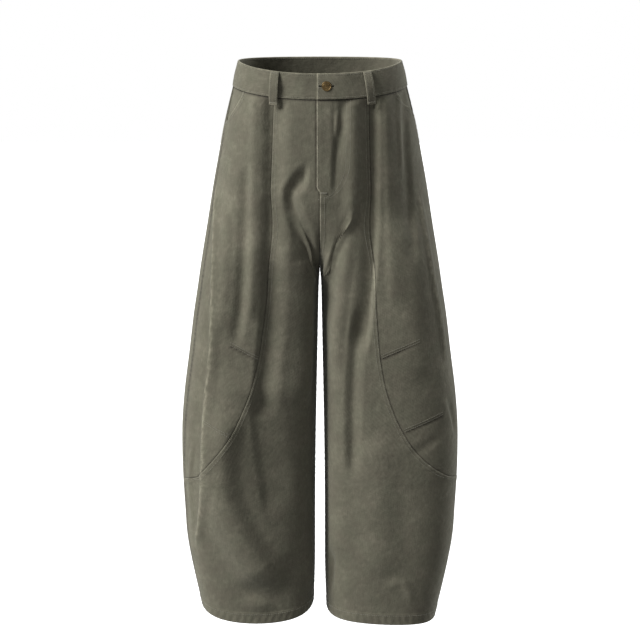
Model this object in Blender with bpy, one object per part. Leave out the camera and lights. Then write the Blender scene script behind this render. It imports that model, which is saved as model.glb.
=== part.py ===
"""Barrel-leg jeans in olive cotton twill, hollow and filled out as if worn.

Sizes are in millimetres and become metres where each mesh is made. The front faces -Y, up is +Z and
the wearer's left is +X. The origin is the middle of the waistband ring.

Each half of the garment is one smooth surface. A point on it is named by how far round it lies, from 0 at
the centre front through 0.5 at the side to 1 at the centre back, and by its level. Above the crotch that
makes half a ring, and below it the leg closes, with the inseam at both 0 and 1. Panels are regions of this
surface, and each has a wall that runs inwards from it.
"""

import math

import bmesh
import bpy
import numpy as np

CLOTH = 1.5
SEAM_GAP = 0.3
BAND_WALL = 3.0
BAND_PROUD = 1.0
BAND_HEIGHT = 45.0
RIM_HEIGHT = 19.5
FRONT_DROP = 17.0
DROP_FADES_AT = -200.0
HEM_WALL = 3.0
HEM_HEIGHT = 20.0
HEM_LEVEL = -1003.0
HEM_FADES_AT = -880.0
CROTCH_LEVEL = -362.0
CROTCH_TOP = -205.0
CROTCH_SQUARE = 2.1
TURN_REACH = 0.14
SPREAD_TOP = -200.0
SPREAD = 0.88
WAIST_SQUARE = 0.035
LEG_SQUARE = 0.055
THIGH_FULLNESS = 0.10
LAP_EDGE = -4.0
LAP_UNDER = 11.0
LAP_FADES_AT = 36.0
LAP_LIFT = CLOTH + SEAM_GAP
BAND_UNDER = 26.0
BAND_LAP_FADES_AT = 58.0
BAND_LAP_LIFT = BAND_WALL + SEAM_GAP
FLY_END = -200.0
POCKET_TOP = (136.0, -28.0)
POCKET_LOW = {"right": -94.0, "left": -80.0}
POCKET_CURVE = 1.55
FACING_UNDER = 12.0
LOOP_WIDTH = 13.0
LOOP_WALL = 2.0
LOOP_BOW = 6.0
LOOP_BELOW_BAND = 13.0
BUTTON_PLACE = (8.3, -19.6)
BUTTON_RADIUS = 8.6
BUTTON_NECK = 1.4
BUTTONHOLE = (22.0, 3.4)

# Height of each section, then where its outer side, inner side, front and back lie.
SECTION_COLUMNS = ("height", "outer", "inner", "front", "back")
SECTIONS = (
    (20, 145.5, 0.2, 97, 100),
    (-5, 152.0, 0.2, 101, 105),
    (-27, 156.2, 0.2, 104, 110),
    (-50, 162.0, 0.2, 107, 116),
    (-95, 172.8, 0.2, 111, 127),
    (-145, 182.3, 0.2, 114, 136),
    (-196, 191.8, 0.2, 115, 139),
    (-273, 204.4, 0.2, 116, 134),
    (-350, 217.1, 0.4, 117, 122),
    (-390, 223.0, 2.6, 117, 114),
    (-428, 229.0, 3.4, 116, 108),
    (-507, 239.1, 5.0, 113, 99),
    (-586, 249.3, 6.6, 110, 93),
    (-640, 253.7, 7.6, 107, 90),
    (-693, 254.6, 8.4, 104, 88),
    (-746, 253.5, 9.0, 101, 86),
    (-800, 250.8, 9.3, 98, 84),
    (-855, 247.5, 9.4, 94, 82),
    (-910, 238.5, 9.6, 90, 79),
    (-965, 227.0, 11.2, 86, 76),
    (-1010, 217.0, 13.6, 83, 74),
)

# Height of the hem edge at the inseam, front, outer side and back of each leg.
HEM_EDGES = {
    "right": (-988, -1010, -990, -1004),
    "left": (-1000, -1012, -1012, -1008),
}

# Where the seams of the front lie, seen from the front: height, then distance from the middle on each side.
PRINCESS_COLUMNS = ("height", "right", "left")
PRINCESS_SEAM = (
    (-27, 83, 87),
    (-130, 86, 89),
    (-225, 89, 92),
    (-358, 91, 97),
    (-415, 95, 100),
    (-458, 101, 103),
    (-507, 109, 108),
    (-561, 123, 118),
    (-590, 134, 127),
    (-616, 145, 137),
    (-646, 160, 152),
    (-670, 176, 167),
    (-692, 192, 186),
    (-715, 210, 213),
    (-728, 222, 232),
)
PRINCESS_END = {"right": -741.0, "left": -748.0}

# How far round the side seam lies at each height. 0.5 is the outermost point.
SIDE_SEAM_COLUMNS = ("height", "right", "left")
SIDE_SEAM = (
    (-27, 0.470, 0.470),
    (-95, 0.436, 0.495),
    (-200, 0.428, 0.512),
    (-330, 0.424, 0.520),
    (-620, 0.430, 0.520),
    (-745, 0.444, 0.520),
    (-1010, 0.455, 0.512),
)

# Soft folds: the half they lie on, front or back, how far they stand out (less than 0 sinks in), the distance
# from crest to edge, and the places they run through, as distance from the middle and height.
FOLD_COLUMNS = ("half", "face", "rise", "reach", "places")
FOLDS = (
    ("right", "front", -5.0, 15, ((100, -46), (101, -131), (103, -219), (106, -325), (112, -450))),
    ("right", "front", 3.0, 13, ((119, -45), (121, -184), (126, -325), (132, -450))),
    ("right", "front", -4.0, 13, ((145, -186), (147, -291), (153, -397), (157, -497))),
    ("right", "front", 2.5, 13, ((167, -224), (171, -363), (178, -472))),
    ("right", "front", 3.5, 14, ((188, -230), (192, -313), (193, -393), (200, -506), (207, -572), (214, -602),
                                 (216, -717), (219, -731), (228, -825), (236, -870))),
    ("right", "front", -4.0, 17, ((8, -165), (30, -182), (51, -204), (47, -228), (42, -254), (25, -272), (8, -290))),
    ("right", "front", -2.5, 14, ((20, -430), (20, -592), (19, -726), (17, -883))),
    ("right", "front", -8.0, 22, ((160, -751), (136, -796), (115, -845), (95, -894), (77, -935), (39, -957))),
    ("right", "front", 5.0, 26, ((182, -790), (161, -856), (136, -912))),
    ("right", "front", 2.5, 18, ((120, -760), (88, -830), (58, -890))),
    ("left", "front", -5.0, 15, ((76, -48), (76, -148), (78, -254), (77, -361), (74, -470), (68, -582), (58, -712))),
    ("left", "front", 2.5, 10, ((102, -50), (101, -131), (104, -200))),
    ("left", "front", -3.5, 10, ((116, -45), (116, -131), (122, -230))),
    ("left", "front", 2.5, 12, ((129, -50), (130, -132), (138, -240))),
    ("left", "front", 2.5, 14, ((171, -205), (184, -277), (198, -354), (211, -417), (221, -482), (227, -529))),
    ("left", "front", -3.0, 12, ((22, -46), (21, -130), (19, -195))),
    ("left", "front", -3.0, 11, ((37, -46), (35, -112), (25, -182))),
    ("left", "front", 3.0, 15, ((54, -60), (54, -150), (50, -250), (44, -330))),
    ("left", "front", -3.0, 24, ((130, -710), (131, -825), (128, -942))),
    ("left", "front", 3.0, 14, ((150, -790), (157, -880))),
    ("left", "front", 4.0, 15, ((116, -950), (126, -932), (147, -924), (164, -944), (172, -976))),
    ("left", "front", -3.0, 13, ((26, -860), (21, -930), (19, -970))),
    ("left", "front", -2.5, 14, ((224, -580), (244, -665))),
    ("right", "back", -5.0, 22, ((30, -300), (80, -330), (130, -335))),
    ("right", "back", -4.0, 22, ((40, -395), (90, -425), (150, -430))),
    ("right", "back", -4.0, 22, ((60, -560), (130, -590), (190, -580))),
    ("right", "back", -5.0, 24, ((190, -790), (130, -860), (80, -900))),
    ("left", "back", -5.0, 22, ((28, -296), (84, -322), (138, -338))),
    ("left", "back", -4.0, 22, ((44, -400), (96, -418), (144, -440))),
    ("left", "back", -4.0, 22, ((56, -575), (120, -595), (196, -570))),
    ("left", "back", -5.0, 24, ((176, -800), (136, -850), (70, -915))),
)

# Knee darts: the half, then the inner and the outer end, seen from the front. Each is a shallow stitched line.
KNEE_DARTS = (
    ("right", (110, -507), (159, -481)),
    ("right", (161, -646), (207, -624)),
    ("left", (110, -504), (178, -474)),
    ("left", (152, -641), (223, -612)),
)
DART_DEPTH = 1.6
DART_REACH = 7.0

# Rows of the panels: level at the side, and at the centre or inseam edge. They crowd where the crotch turns under.
ROWS = (
    (-45, -45), (-62, -62), (-78, -78), (-94, -94), (-112, -112), (-132, -132), (-156, -158), (-182, -186), (-208, -214),
    (-233, -243), (-257, -272), (-279, -298), (-299, -320), (-317, -337), (-333, -349), (-348, -358.5),
    (-362, -362), (-378, -366), (-397, -380), (-420, -408), (-446, -440), (-474, -472), (-503, -503),
    (-532, -532), (-561, -561), (-588, -588), (-614, -614), (-638, -638), (-660, -660), (-680, -680),
    (-697, -697), (-711, -711),
)
END_SHARES = (0.26, 0.47, 0.64, 0.78, 0.88, 0.94)
LOW_ROWS = (-764, -792, -820, -850, -880, -910, -940, -964, -981)

CLOTH_COLOUR = (0.115, 0.108, 0.078, 1.0)
BRASS_COLOUR = (0.30, 0.19, 0.08, 1.0)


def smooth_curve(places, values, at):
    """The value at each place on a smooth curve through the given ones, level past both ends."""
    order = np.argsort(places)
    places = np.asarray(places, float)[order]
    values = np.asarray(values, float)[order]
    slopes = np.gradient(values, places)
    at = np.clip(at, places[0], places[-1])
    index = np.clip(np.searchsorted(places, at) - 1, 0, len(places) - 2)
    step = places[index + 1] - places[index]
    part = (at - places[index]) / step
    start = (1 + 2 * part) * (1 - part) ** 2 * values[index] + part * (1 - part) ** 2 * step * slopes[index]
    end = part**2 * (3 - 2 * part) * values[index + 1] + part**2 * (part - 1) * step * slopes[index + 1]
    return start + end


def column(table, columns, name):
    """One named column of a table."""
    place = columns.index(name)
    return [row[place] for row in table]


def ease(part):
    """0 below 0, 1 above 1 and a smooth step between."""
    part = np.clip(part, 0, 1)
    return part * part * (3 - 2 * part)


def section(name, height):
    """A size of the section at each height."""
    return smooth_curve(column(SECTIONS, SECTION_COLUMNS, "height"), column(SECTIONS, SECTION_COLUMNS, name), height)


def leg_share(around, height):
    """0 where the section is half of the hips, 1 where it is a leg.

    Near the middle it follows a quarter of a squared-off circle, which turns the crotch seam under. Further
    round it is a plain smooth step.
    """
    part = np.clip((CROTCH_TOP - height) / (CROTCH_TOP - CROTCH_LEVEL), 0, 1)
    turned = 1 - (1 - part**CROTCH_SQUARE) ** (1 / CROTCH_SQUARE)
    further = ease((np.minimum(around, 1 - around) - TURN_REACH) / TURN_REACH)
    return turned + (ease(part) - turned) * further


def hip_turn(around, height):
    """The angle round the hips, from the centre front.

    Towards the crotch it is spread so that a point of the hips lies as far out as that point of the leg.
    """
    plain = np.pi * around
    reach = np.arcsin(np.clip(np.sin(plain) ** 2, 0, 1))
    spread = np.where(around < 0.5, reach, np.pi - reach) * np.where(around < 0, -1, 1)
    amount = SPREAD * ease((SPREAD_TOP - height) / (SPREAD_TOP - CROTCH_LEVEL))
    return plain + (spread - plain) * amount


def edge_share(around):
    """1 at the centre or inseam edges, 0 at the side."""
    return np.cos(np.pi * around) ** 4


def true_height(half, around, level, edge_level):
    """The height of a point: its row's level, tilted to the edge's, with the rim's dip and the hem's own line."""
    height = level + (edge_level - level) * edge_share(around)
    front = np.where(around < 0.5, 0.5 + 0.5 * np.cos(2 * np.pi * around), 0)
    height = height - FRONT_DROP * front * ease((level - DROP_FADES_AT) / (-27 - DROP_FADES_AT))
    inner, forward, outer, back = HEM_EDGES[half]
    turn = 2 * np.pi * around
    mean = (inner + forward + outer + back) / 4
    sway = (inner - outer) / 2 * np.cos(turn) + (forward - back) / 2 * np.sin(turn)
    twice = (inner + outer - forward - back) / 4 * np.cos(2 * turn)
    low = ease((HEM_FADES_AT - level) / (HEM_FADES_AT - HEM_LEVEL))
    return height + (mean - HEM_LEVEL + sway + twice) * low


def base_point(half, around, level, edge_level):
    """A point of the smooth half before any fold, as x outwards, y and z."""
    height = true_height(half, around, level, edge_level)
    size_at = np.minimum(height, 20)
    outer, inner = section("outer", size_at), section("inner", size_at)
    front, back = section("front", size_at), section("back", size_at)
    middle, depth = (back - front) / 2, (back + front) / 2
    share = leg_share(around, height)
    depth = depth * (1 + THIGH_FULLNESS * share * (1 - share))
    turn = hip_turn(around, height)
    hip_x = outer * (np.sin(turn) + WAIST_SQUARE * np.sin(3 * turn)) / (1 - WAIST_SQUARE)
    hip_y = middle - depth * (np.cos(turn) - WAIST_SQUARE * np.cos(3 * turn)) / (1 - WAIST_SQUARE)
    turn = 2 * np.pi * around
    leg_wide = (np.cos(turn) - LEG_SQUARE * np.cos(3 * turn)) / (1 - LEG_SQUARE)
    leg_deep = (np.sin(turn) + LEG_SQUARE * np.sin(3 * turn)) / (1 - LEG_SQUARE)
    leg_x = (outer + inner) / 2 - (outer - inner) / 2 * leg_wide
    leg_y = middle - depth * leg_deep
    return np.stack([(1 - share) * hip_x + share * leg_x, (1 - share) * hip_y + share * leg_y, height], axis=-1)


def half_round(level):
    """Length of the half section at a level, near enough to lay folds out by."""
    outer, inner = section("outer", level), section("inner", level)
    depth = (section("front", level) + section("back", level)) / 2
    share = leg_share(0.5, level)
    hips = math.pi * np.sqrt((outer**2 + depth**2) / 2)
    leg = 2 * math.pi * np.sqrt((((outer - inner) / 2) ** 2 + depth**2) / 2)
    return (1 - share) * hips + share * leg


AROUND_STEPS = np.linspace(0, 1, 401)


def around_at(half, face, across, level):
    """How far round a point lies that is seen at this distance from the middle, on the front or the back."""
    found = []
    for far, height in zip(np.atleast_1d(across), np.atleast_1d(level)):
        steps = AROUND_STEPS[:201] if face == "front" else AROUND_STEPS[:199:-1]
        seen = base_point(half, steps, height, height)[:, 0]
        rising = np.maximum.accumulate(seen) + np.arange(len(seen)) * 1e-6
        found.append(np.interp(far, rising, steps))
    return np.array(found)


def princess_around(half, level):
    """How far round the princess seam lies. It sweeps out to the side seam over its last stretch."""
    heights = column(PRINCESS_SEAM, PRINCESS_COLUMNS, "height") + [PRINCESS_END[half]]
    across = column(PRINCESS_SEAM, PRINCESS_COLUMNS, half)
    rounds = list(around_at(half, "front", across, heights[:-1])) + [float(side_around(half, PRINCESS_END[half]))]
    return smooth_curve(heights, rounds, level)


def side_around(half, level):
    """How far round the side seam lies."""
    return smooth_curve(column(SIDE_SEAM, SIDE_SEAM_COLUMNS, "height"), column(SIDE_SEAM, SIDE_SEAM_COLUMNS, half), level)


def laid_folds(half):
    """Each fold of a half as its rise, reach and places on the smooth surface."""
    laid = []
    rows = [dict(zip(FOLD_COLUMNS, row)) for row in FOLDS]
    for dart_half, inner_end, outer_end in KNEE_DARTS:
        row = (dart_half, "front", -DART_DEPTH, DART_REACH, (inner_end, outer_end))
        rows.append(dict(zip(FOLD_COLUMNS, row)))
    for row in rows:
        if row["half"] != half:
            continue
        across, levels = np.array(row["places"], float).T
        rounds = around_at(half, row["face"], across, levels)
        laid.append((row["rise"], row["reach"], base_point(half, rounds, levels, levels)))
    return laid


LAID_FOLDS = {half: laid_folds(half) for half in ("right", "left")}


def fold_rise(half, point, clear_of_edge):
    """How far the folds lift each point. A fold is a rounded ridge or trough that fades towards its ends."""
    total = np.zeros(point.shape[:-1])
    for rise, reach, places in LAID_FOLDS[half]:
        lengths = np.linalg.norm(np.diff(places, axis=0), axis=1)
        starts = np.concatenate([[0], np.cumsum(lengths)])
        nearest = np.full(total.shape, np.inf)
        along = np.zeros(total.shape)
        for start, end, length, before in zip(places[:-1], places[1:], lengths, starts[:-1]):
            part = np.clip(((point - start) @ (end - start)) / length**2, 0, 1)
            gap = np.linalg.norm(point - (start + part[..., None] * (end - start)), axis=-1)
            closer = gap < nearest
            nearest = np.where(closer, gap, nearest)
            along = np.where(closer, before + part * length, along)
        fade = min(35.0, 0.45 * starts[-1])
        ends = ease(along / fade) * ease((starts[-1] - along) / fade)
        total += rise * ends * (0.5 + 0.5 * np.cos(np.pi * np.clip(nearest / reach, 0, 1)))
    return total * clear_of_edge


def folded_point(half, around, level, edge_level):
    """A point of the garment's outer face with its folds."""
    point = base_point(half, around, level, edge_level)
    edges = [base_point(half, 0 * around + end, level, edge_level) for end in (0.0, 1.0)]
    from_edge = np.minimum(*[np.linalg.norm(point - edge, axis=-1) for edge in edges])
    clear = 3 + (LAP_UNDER + 2) * ease((point[..., 2] - FLY_END + 30) / 15)
    rise = fold_rise(half, point, ease((from_edge - clear) / 14))
    return point + outward(base_point, half, around, level, edge_level) * rise[..., None]


def outward(surface, half, around, level, edge_level):
    """The outward direction of a surface, from short steps round and down it."""
    step = np.where(around < 0.5, 0.002, -0.002)
    here = surface(half, around, level, edge_level)
    round_way = (surface(half, around + step, level, edge_level) - here) / step[..., None]
    lower = surface(half, around, level - 0.8, edge_level - 0.8)
    upper = surface(half, around, level + 0.8, edge_level + 0.8)
    normal = np.cross(round_way, lower - upper)
    return -normal / np.linalg.norm(normal, axis=-1, keepdims=True)


def lap_lift(half, around, level):
    """How far the wearer's-left front rides up to lie over the right one, down the fly."""
    if half == "right":
        return np.zeros(np.broadcast(around, level).shape)
    from_middle = around * half_round(level)
    across = 1 - ease((from_middle - LAP_UNDER - 1) / (LAP_FADES_AT - LAP_UNDER - 1))
    return LAP_LIFT * across * ease((level - FLY_END + 28) / 18)


def panel_faces(half, around, level, edge_level, wall, sunk=0.0, lap=True):
    """The outer and the inner points of a panel's wall."""
    outer = folded_point(half, around, level, edge_level)
    normal = outward(folded_point, half, around, level, edge_level)
    lift = lap_lift(half, around, level) - sunk if lap else -sunk + 0 * around
    outer = outer + normal * np.broadcast_to(lift, around.shape)[..., None]
    inner = outer - normal * np.broadcast_to(wall, around.shape)[..., None]
    return outer, inner


def keep_side(points, around):
    """Keeps each half clear of the other at the middle, apart from what the fly laps over."""
    near = np.where(around >= 0, np.maximum(points[..., 0], SEAM_GAP / 2), points[..., 0])
    return np.concatenate([near[..., None], points[..., 1:]], axis=-1)


def mirrored(points, half):
    """Points with x outwards turned to real places: the wearer's right is -X."""
    side = -1.0 if half == "right" else 1.0
    return points * np.array([side, 1.0, 1.0])


def material(name, colour, metallic, roughness):
    """A plain material."""
    made = bpy.data.materials.new(name)
    made.use_nodes = True
    shader = made.node_tree.nodes["Principled BSDF"]
    shader.inputs["Base Color"].default_value = colour
    shader.inputs["Metallic"].default_value = metallic
    shader.inputs["Roughness"].default_value = roughness
    return made


def add_solid(name, points, faces, colour=CLOTH_COLOUR, metallic=0.0, roughness=0.9):
    """A named object from points in millimetres, its faces turned outwards."""
    mesh = bpy.data.meshes.new(name)
    mesh.from_pydata([tuple(point) for point in np.asarray(points) * 0.001], [], faces)
    shape = bmesh.new()
    shape.from_mesh(mesh)
    bmesh.ops.recalc_face_normals(shape, faces=shape.faces)
    shape.to_mesh(mesh)
    shape.free()
    made = bpy.data.objects.new(name, mesh)
    bpy.context.scene.collection.objects.link(made)
    mesh.materials.append(material(name + "_cloth", colour, metallic, roughness))
    return made


def wall_between(name, outer, inner, missing=()):
    """A closed wall between two grids of points. Cells listed in missing are left open, with their own rim."""
    rows, columns = outer.shape[:2]
    number = np.arange(rows * columns).reshape(rows, columns)
    below = number + rows * columns
    kept = {(i, j) for i in range(rows - 1) for j in range(columns - 1)} - set(missing)
    faces = []
    for i, j in sorted(kept):
        corners = ((i, j), (i, j + 1), (i + 1, j + 1), (i + 1, j))
        faces.append([int(number[c]) for c in corners])
        faces.append([int(below[c]) for c in reversed(corners)])
        beside = ((i - 1, j), (i, j + 1), (i + 1, j), (i, j - 1))
        for first, second, neighbour in zip(corners, corners[1:] + corners[:1], beside):
            if neighbour not in kept:
                faces.append([int(number[second]), int(number[first]), int(below[first]), int(below[second])])
    points = np.concatenate([outer.reshape(-1, 3), inner.reshape(-1, 3)])
    used = sorted({corner for face in faces for corner in face})
    renumber = {old: new for new, old in enumerate(used)}
    return add_solid(name, points[used], [[renumber[corner] for corner in face] for face in faces])


def seam_edge(half, around, level, edge_level, away):
    """An edge moved off its seam line by half the gap, measured square to the line. away is 1 or -1."""
    point = base_point(half, around, level, edge_level)
    speed = np.linalg.norm(base_point(half, around + 0.002, level, edge_level) - point, axis=-1) / 0.002
    slant = np.gradient(around) * speed / np.maximum(np.linalg.norm(np.gradient(point, axis=0), axis=-1), 1e-6)
    square = np.sqrt(np.clip(1 - slant**2, 0.02, 1))
    return around + away * (SEAM_GAP / 2 + 0.05) / (speed * square)


def row_levels(top, rows):
    """Side and edge levels of a panel's rows, from its top edge down."""
    side = np.array([top] + [row[0] for row in rows], float)
    edge = np.array([top] + [row[1] for row in rows], float)
    return side, edge


def grid_panel(name, half, left, right, columns, side, edge, walls, sunk=0.0):
    """A panel between two edges, given as how far round each lies in every row."""
    part = np.linspace(0, 1, columns + 1)
    around = left[:, None] + (right - left)[:, None] * part
    level = np.repeat(side[:, None], columns + 1, axis=1)
    edge_level = np.repeat(edge[:, None], columns + 1, axis=1)
    wall = np.repeat(np.asarray(walls, float)[:, None], columns + 1, axis=1)
    outer, inner = panel_faces(half, around, level, edge_level, wall, sunk)
    outer, inner = keep_side(outer, around), keep_side(inner, around)
    return wall_between(name, mirrored(outer, half), mirrored(inner, half))


PANEL_TOP = RIM_HEIGHT - BAND_HEIGHT - SEAM_GAP
LOW_LEVELS = [(level, level) for level in LOW_ROWS] + [(HEM_LEVEL, HEM_LEVEL)]


def end_rows(half):
    """Rows that crowd towards the end of the princess seam."""
    start, end = ROWS[-1][0], PRINCESS_END[half]
    return [(start + (end - start) * share, start + (end - start) * share) for share in END_SHARES]


def middle_edge(half, side, edge):
    """The centre-front edge: at the fly the left front reaches over and the right front runs on beneath."""
    clear = (SEAM_GAP / 2 + 0.02) / half_round(edge)
    reach = LAP_EDGE if half == "left" else -LAP_UNDER
    over = ease((edge - FLY_END) / 10)
    return clear + (reach / half_round(edge) - clear) * over


def build_front(half):
    """The inner front: between the centre and the princess seam, then over to the side seam below the knee."""
    below = (PRINCESS_END[half] - 0.5, PRINCESS_END[half] - 0.5)
    side, edge = row_levels(PANEL_TOP, list(ROWS) + end_rows(half) + [below] + LOW_LEVELS)
    walls = np.where(side > HEM_LEVEL + HEM_HEIGHT + 4, CLOTH, HEM_WALL)
    upper = side > PRINCESS_END[half]
    seam = np.where(upper, princess_around(half, side), side_around(half, side))
    right = seam_edge(half, seam, side, edge, -1)
    return grid_panel("front_" + half, half, middle_edge(half, side, edge), right, 13, side, edge, walls)


def pocket_around(half, level):
    """How far round the slanted pocket edge lies: from the waistband out to the side seam."""
    across, top = POCKET_TOP
    start = around_at(half, "front", across, top)[0]
    low = POCKET_LOW[half]
    end = side_around(half, low)
    return start + (end - start) * np.clip((top - level) / (top - low), 0, 1) ** POCKET_CURVE


def build_side(half):
    """The outer front: from the princess seam to the side seam, cut away at the pocket."""
    side, edge = row_levels(PANEL_TOP, list(ROWS) + end_rows(half))
    left = seam_edge(half, princess_around(half, side), side, edge, 1)
    seam = np.where(side > POCKET_LOW[half], pocket_around(half, side), side_around(half, side))
    right = seam_edge(half, seam, side, edge, -1)
    walls = np.full(len(side), CLOTH)
    return grid_panel("side_" + half, half, left, right, 9, side, edge, walls)


def build_facing(half):
    """What shows in the pocket mouth: a strip under the outer front that ends at the side seam."""
    low = POCKET_LOW[half]
    side = np.array([PANEL_TOP] + [row[0] for row in ROWS if row[0] > low + 2] + [low + 1])
    left = pocket_around(half, side) - FACING_UNDER / half_round(side)
    right = seam_edge(half, side_around(half, side), side, side, -1)
    walls = np.full(len(side), CLOTH)
    return grid_panel("pocket_facing_" + half, half, left, right, 4, side, side, walls, sunk=CLOTH + 2 * SEAM_GAP)


def build_back(half):
    """The back: from the side seam to the centre back, then the inseam."""
    below = (PRINCESS_END[half] - 0.5, PRINCESS_END[half] - 0.5)
    side, edge = row_levels(PANEL_TOP, list(ROWS) + end_rows(half) + [below] + LOW_LEVELS)
    walls = np.where(side > HEM_LEVEL + HEM_HEIGHT + 4, CLOTH, HEM_WALL)
    left = seam_edge(half, side_around(half, side), side, edge, 1)
    right = 1 - (SEAM_GAP / 2 + 0.02) / half_round(edge)
    return grid_panel("back_" + half, half, left, right, 13, side, edge, walls)


def ring_point(along, level):
    """A point of the waist at a distance round it from the centre front, towards the wearer's left."""
    whole = 2 * half_round(level)
    turn = np.mod(along / whole, 1.0) * 2
    left = base_point("left", np.minimum(turn, 1), level, level)
    right = mirrored(base_point("right", np.minimum(2 - turn, 1), level, level), "right")
    return np.where((turn <= 1)[..., None], left, right)


def ring_outward(along, level):
    """The outward direction of the waist."""
    round_way = ring_point(along + 1.5, level) - ring_point(along - 1.5, level)
    down = ring_point(along, level - 0.8) - ring_point(along, level + 0.8)
    normal = np.cross(round_way, down)
    return -normal / np.linalg.norm(normal, axis=-1, keepdims=True)


def band_lift(along, level):
    """How far the waistband's outer end rides up over the end beneath it."""
    across = 1 - ease((along - BAND_UNDER - 1) / (BAND_LAP_FADES_AT - BAND_UNDER - 1))
    return BAND_LAP_LIFT * across


def build_waistband():
    """One strip right round the waist, with its outer end over the other and a buttonhole in it."""
    hole_long, hole_high = BUTTONHOLE
    hole_start = BUTTON_PLACE[0] - hole_long / 2
    outer_end = [LAP_EDGE, hole_start, hole_start + hole_long, 27.0, 35.0, 43.0, 51.0, BAND_LAP_FADES_AT]
    shares = [0.0] * len(outer_end) + list(np.linspace(0.085, 0.975, 44)) + [1.0] * 3
    offsets = outer_end + [0.0] * 44 + [LAP_EDGE, 13.0, BAND_UNDER]
    bottom = PANEL_TOP + SEAM_GAP
    middle = BUTTON_PLACE[1] + FRONT_DROP
    levels = [RIM_HEIGHT, RIM_HEIGHT - 8, middle + hole_high / 2, middle - hole_high / 2, bottom + 8, bottom]
    share, level = np.meshgrid(np.array(shares), np.array(levels))
    along = share * 2 * half_round(level) + np.array(offsets)
    normal = ring_outward(along, level)
    outer = ring_point(along, level) + normal * (BAND_PROUD + band_lift(along, level))[..., None]
    inner = outer - normal * BAND_WALL
    return wall_between("waistband", outer, inner, missing=[(2, 1)])


def build_loop(name, share, offset_top=0.0, offset_low=0.0):
    """A belt loop: a strip from the rim to below the waistband that bows out in between.

    It sits at a share of the whole waist from the centre front, moved on by an offset at each end.
    """
    steps = 9
    part = np.linspace(0, 1, steps + 1)
    top = RIM_HEIGHT - 1.0
    low = PANEL_TOP - LOOP_BELOW_BAND
    level = top + (low - top) * part
    centre = share * 2 * half_round(level) + offset_top + (offset_low - offset_top) * part
    bow = LOOP_BOW * np.sin(np.pi * np.clip(part / 0.92, 0, 1)) ** 0.8
    seat = BAND_PROUD + SEAM_GAP + band_lift(centre, level)
    clear = seat + bow
    across = np.linspace(-LOOP_WIDTH / 2, LOOP_WIDTH / 2, 3)
    along = centre[:, None] + across
    levels = np.repeat(level[:, None], 3, axis=1)
    normal = ring_outward(along, levels)
    inner = ring_point(along, levels) + normal * clear[:, None, None]
    outer = inner + normal * LOOP_WALL
    return wall_between(name, outer, inner)


def build_button():
    """A domed metal button whose neck goes through the buttonhole."""
    along, height = BUTTON_PLACE
    place = np.array([along]), np.array([height + FRONT_DROP])
    centre, normal = ring_point(*place)[0], ring_outward(*place)[0]
    seat = BAND_PROUD + BAND_LAP_LIFT + SEAM_GAP
    foot = seat - SEAM_GAP - BAND_WALL
    profile = (
        (0, foot), (BUTTON_NECK, foot), (BUTTON_NECK, seat), (BUTTON_RADIUS - 0.8, seat), (BUTTON_RADIUS, seat + 0.8),
        (BUTTON_RADIUS - 0.3, seat + 1.9), (BUTTON_RADIUS - 1.6, seat + 2.2), (BUTTON_RADIUS - 2.6, seat + 1.6),
        (3.2, seat + 2.0), (0, seat + 2.2),
    )
    beside = np.cross(normal, (0.0, 0.0, 1.0))
    beside /= np.linalg.norm(beside)
    upright = np.cross(beside, normal)
    turns = np.linspace(0, 2 * math.pi, 24, endpoint=False)
    points = [centre + normal * profile[0][1]]
    for radius, out in profile[1:-1]:
        for turn in turns:
            points.append(centre + normal * out + radius * (beside * math.cos(turn) + upright * math.sin(turn)))
    points.append(centre + normal * profile[-1][1])
    faces = []
    rings = len(profile) - 2
    last = len(points) - 1
    for k in range(24):
        after = (k + 1) % 24
        faces.append([0, 1 + after, 1 + k])
        for ring in range(rings - 1):
            start = 1 + ring * 24
            faces.append([start + k, start + after, start + 24 + after, start + 24 + k])
        start = 1 + (rings - 1) * 24
        faces.append([start + k, start + after, last])
    return add_solid("button", points, faces, BRASS_COLOUR, 0.9, 0.35)


def clear_scene():
    """Removes what the start-up scene holds."""
    for made in list(bpy.data.objects):
        bpy.data.objects.remove(made, do_unlink=True)


clear_scene()
for part_half in ("right", "left"):
    build_front(part_half)
    build_side(part_half)
    build_facing(part_half)
    build_back(part_half)
build_waistband()
build_loop("loop_front_left", 0.0, 64.0, 71.5)
build_loop("loop_front_right", 1.0, -61.0, -63.5)
build_loop("loop_back_left", 0.355)
build_loop("loop_back_right", 0.645)
build_loop("loop_back_centre", 0.5)
build_button()
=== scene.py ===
"""Barrel-leg jeans in washed olive cotton twill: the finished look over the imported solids.

Sizes are in millimetres and become metres where each mesh is made. The front faces -Y, up is +Z and the
wearer's left is +X. Each half of the garment is one smooth surface, the same as that of the solids. A point on
it is named by how far round it lies, from 0 at the centre front through 0.5 at the side to 1 at the centre
back, and by its level. Each panel of cloth is a fine grid on it, with soft folds, lapped seams and stitching.
"""

import math

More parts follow.
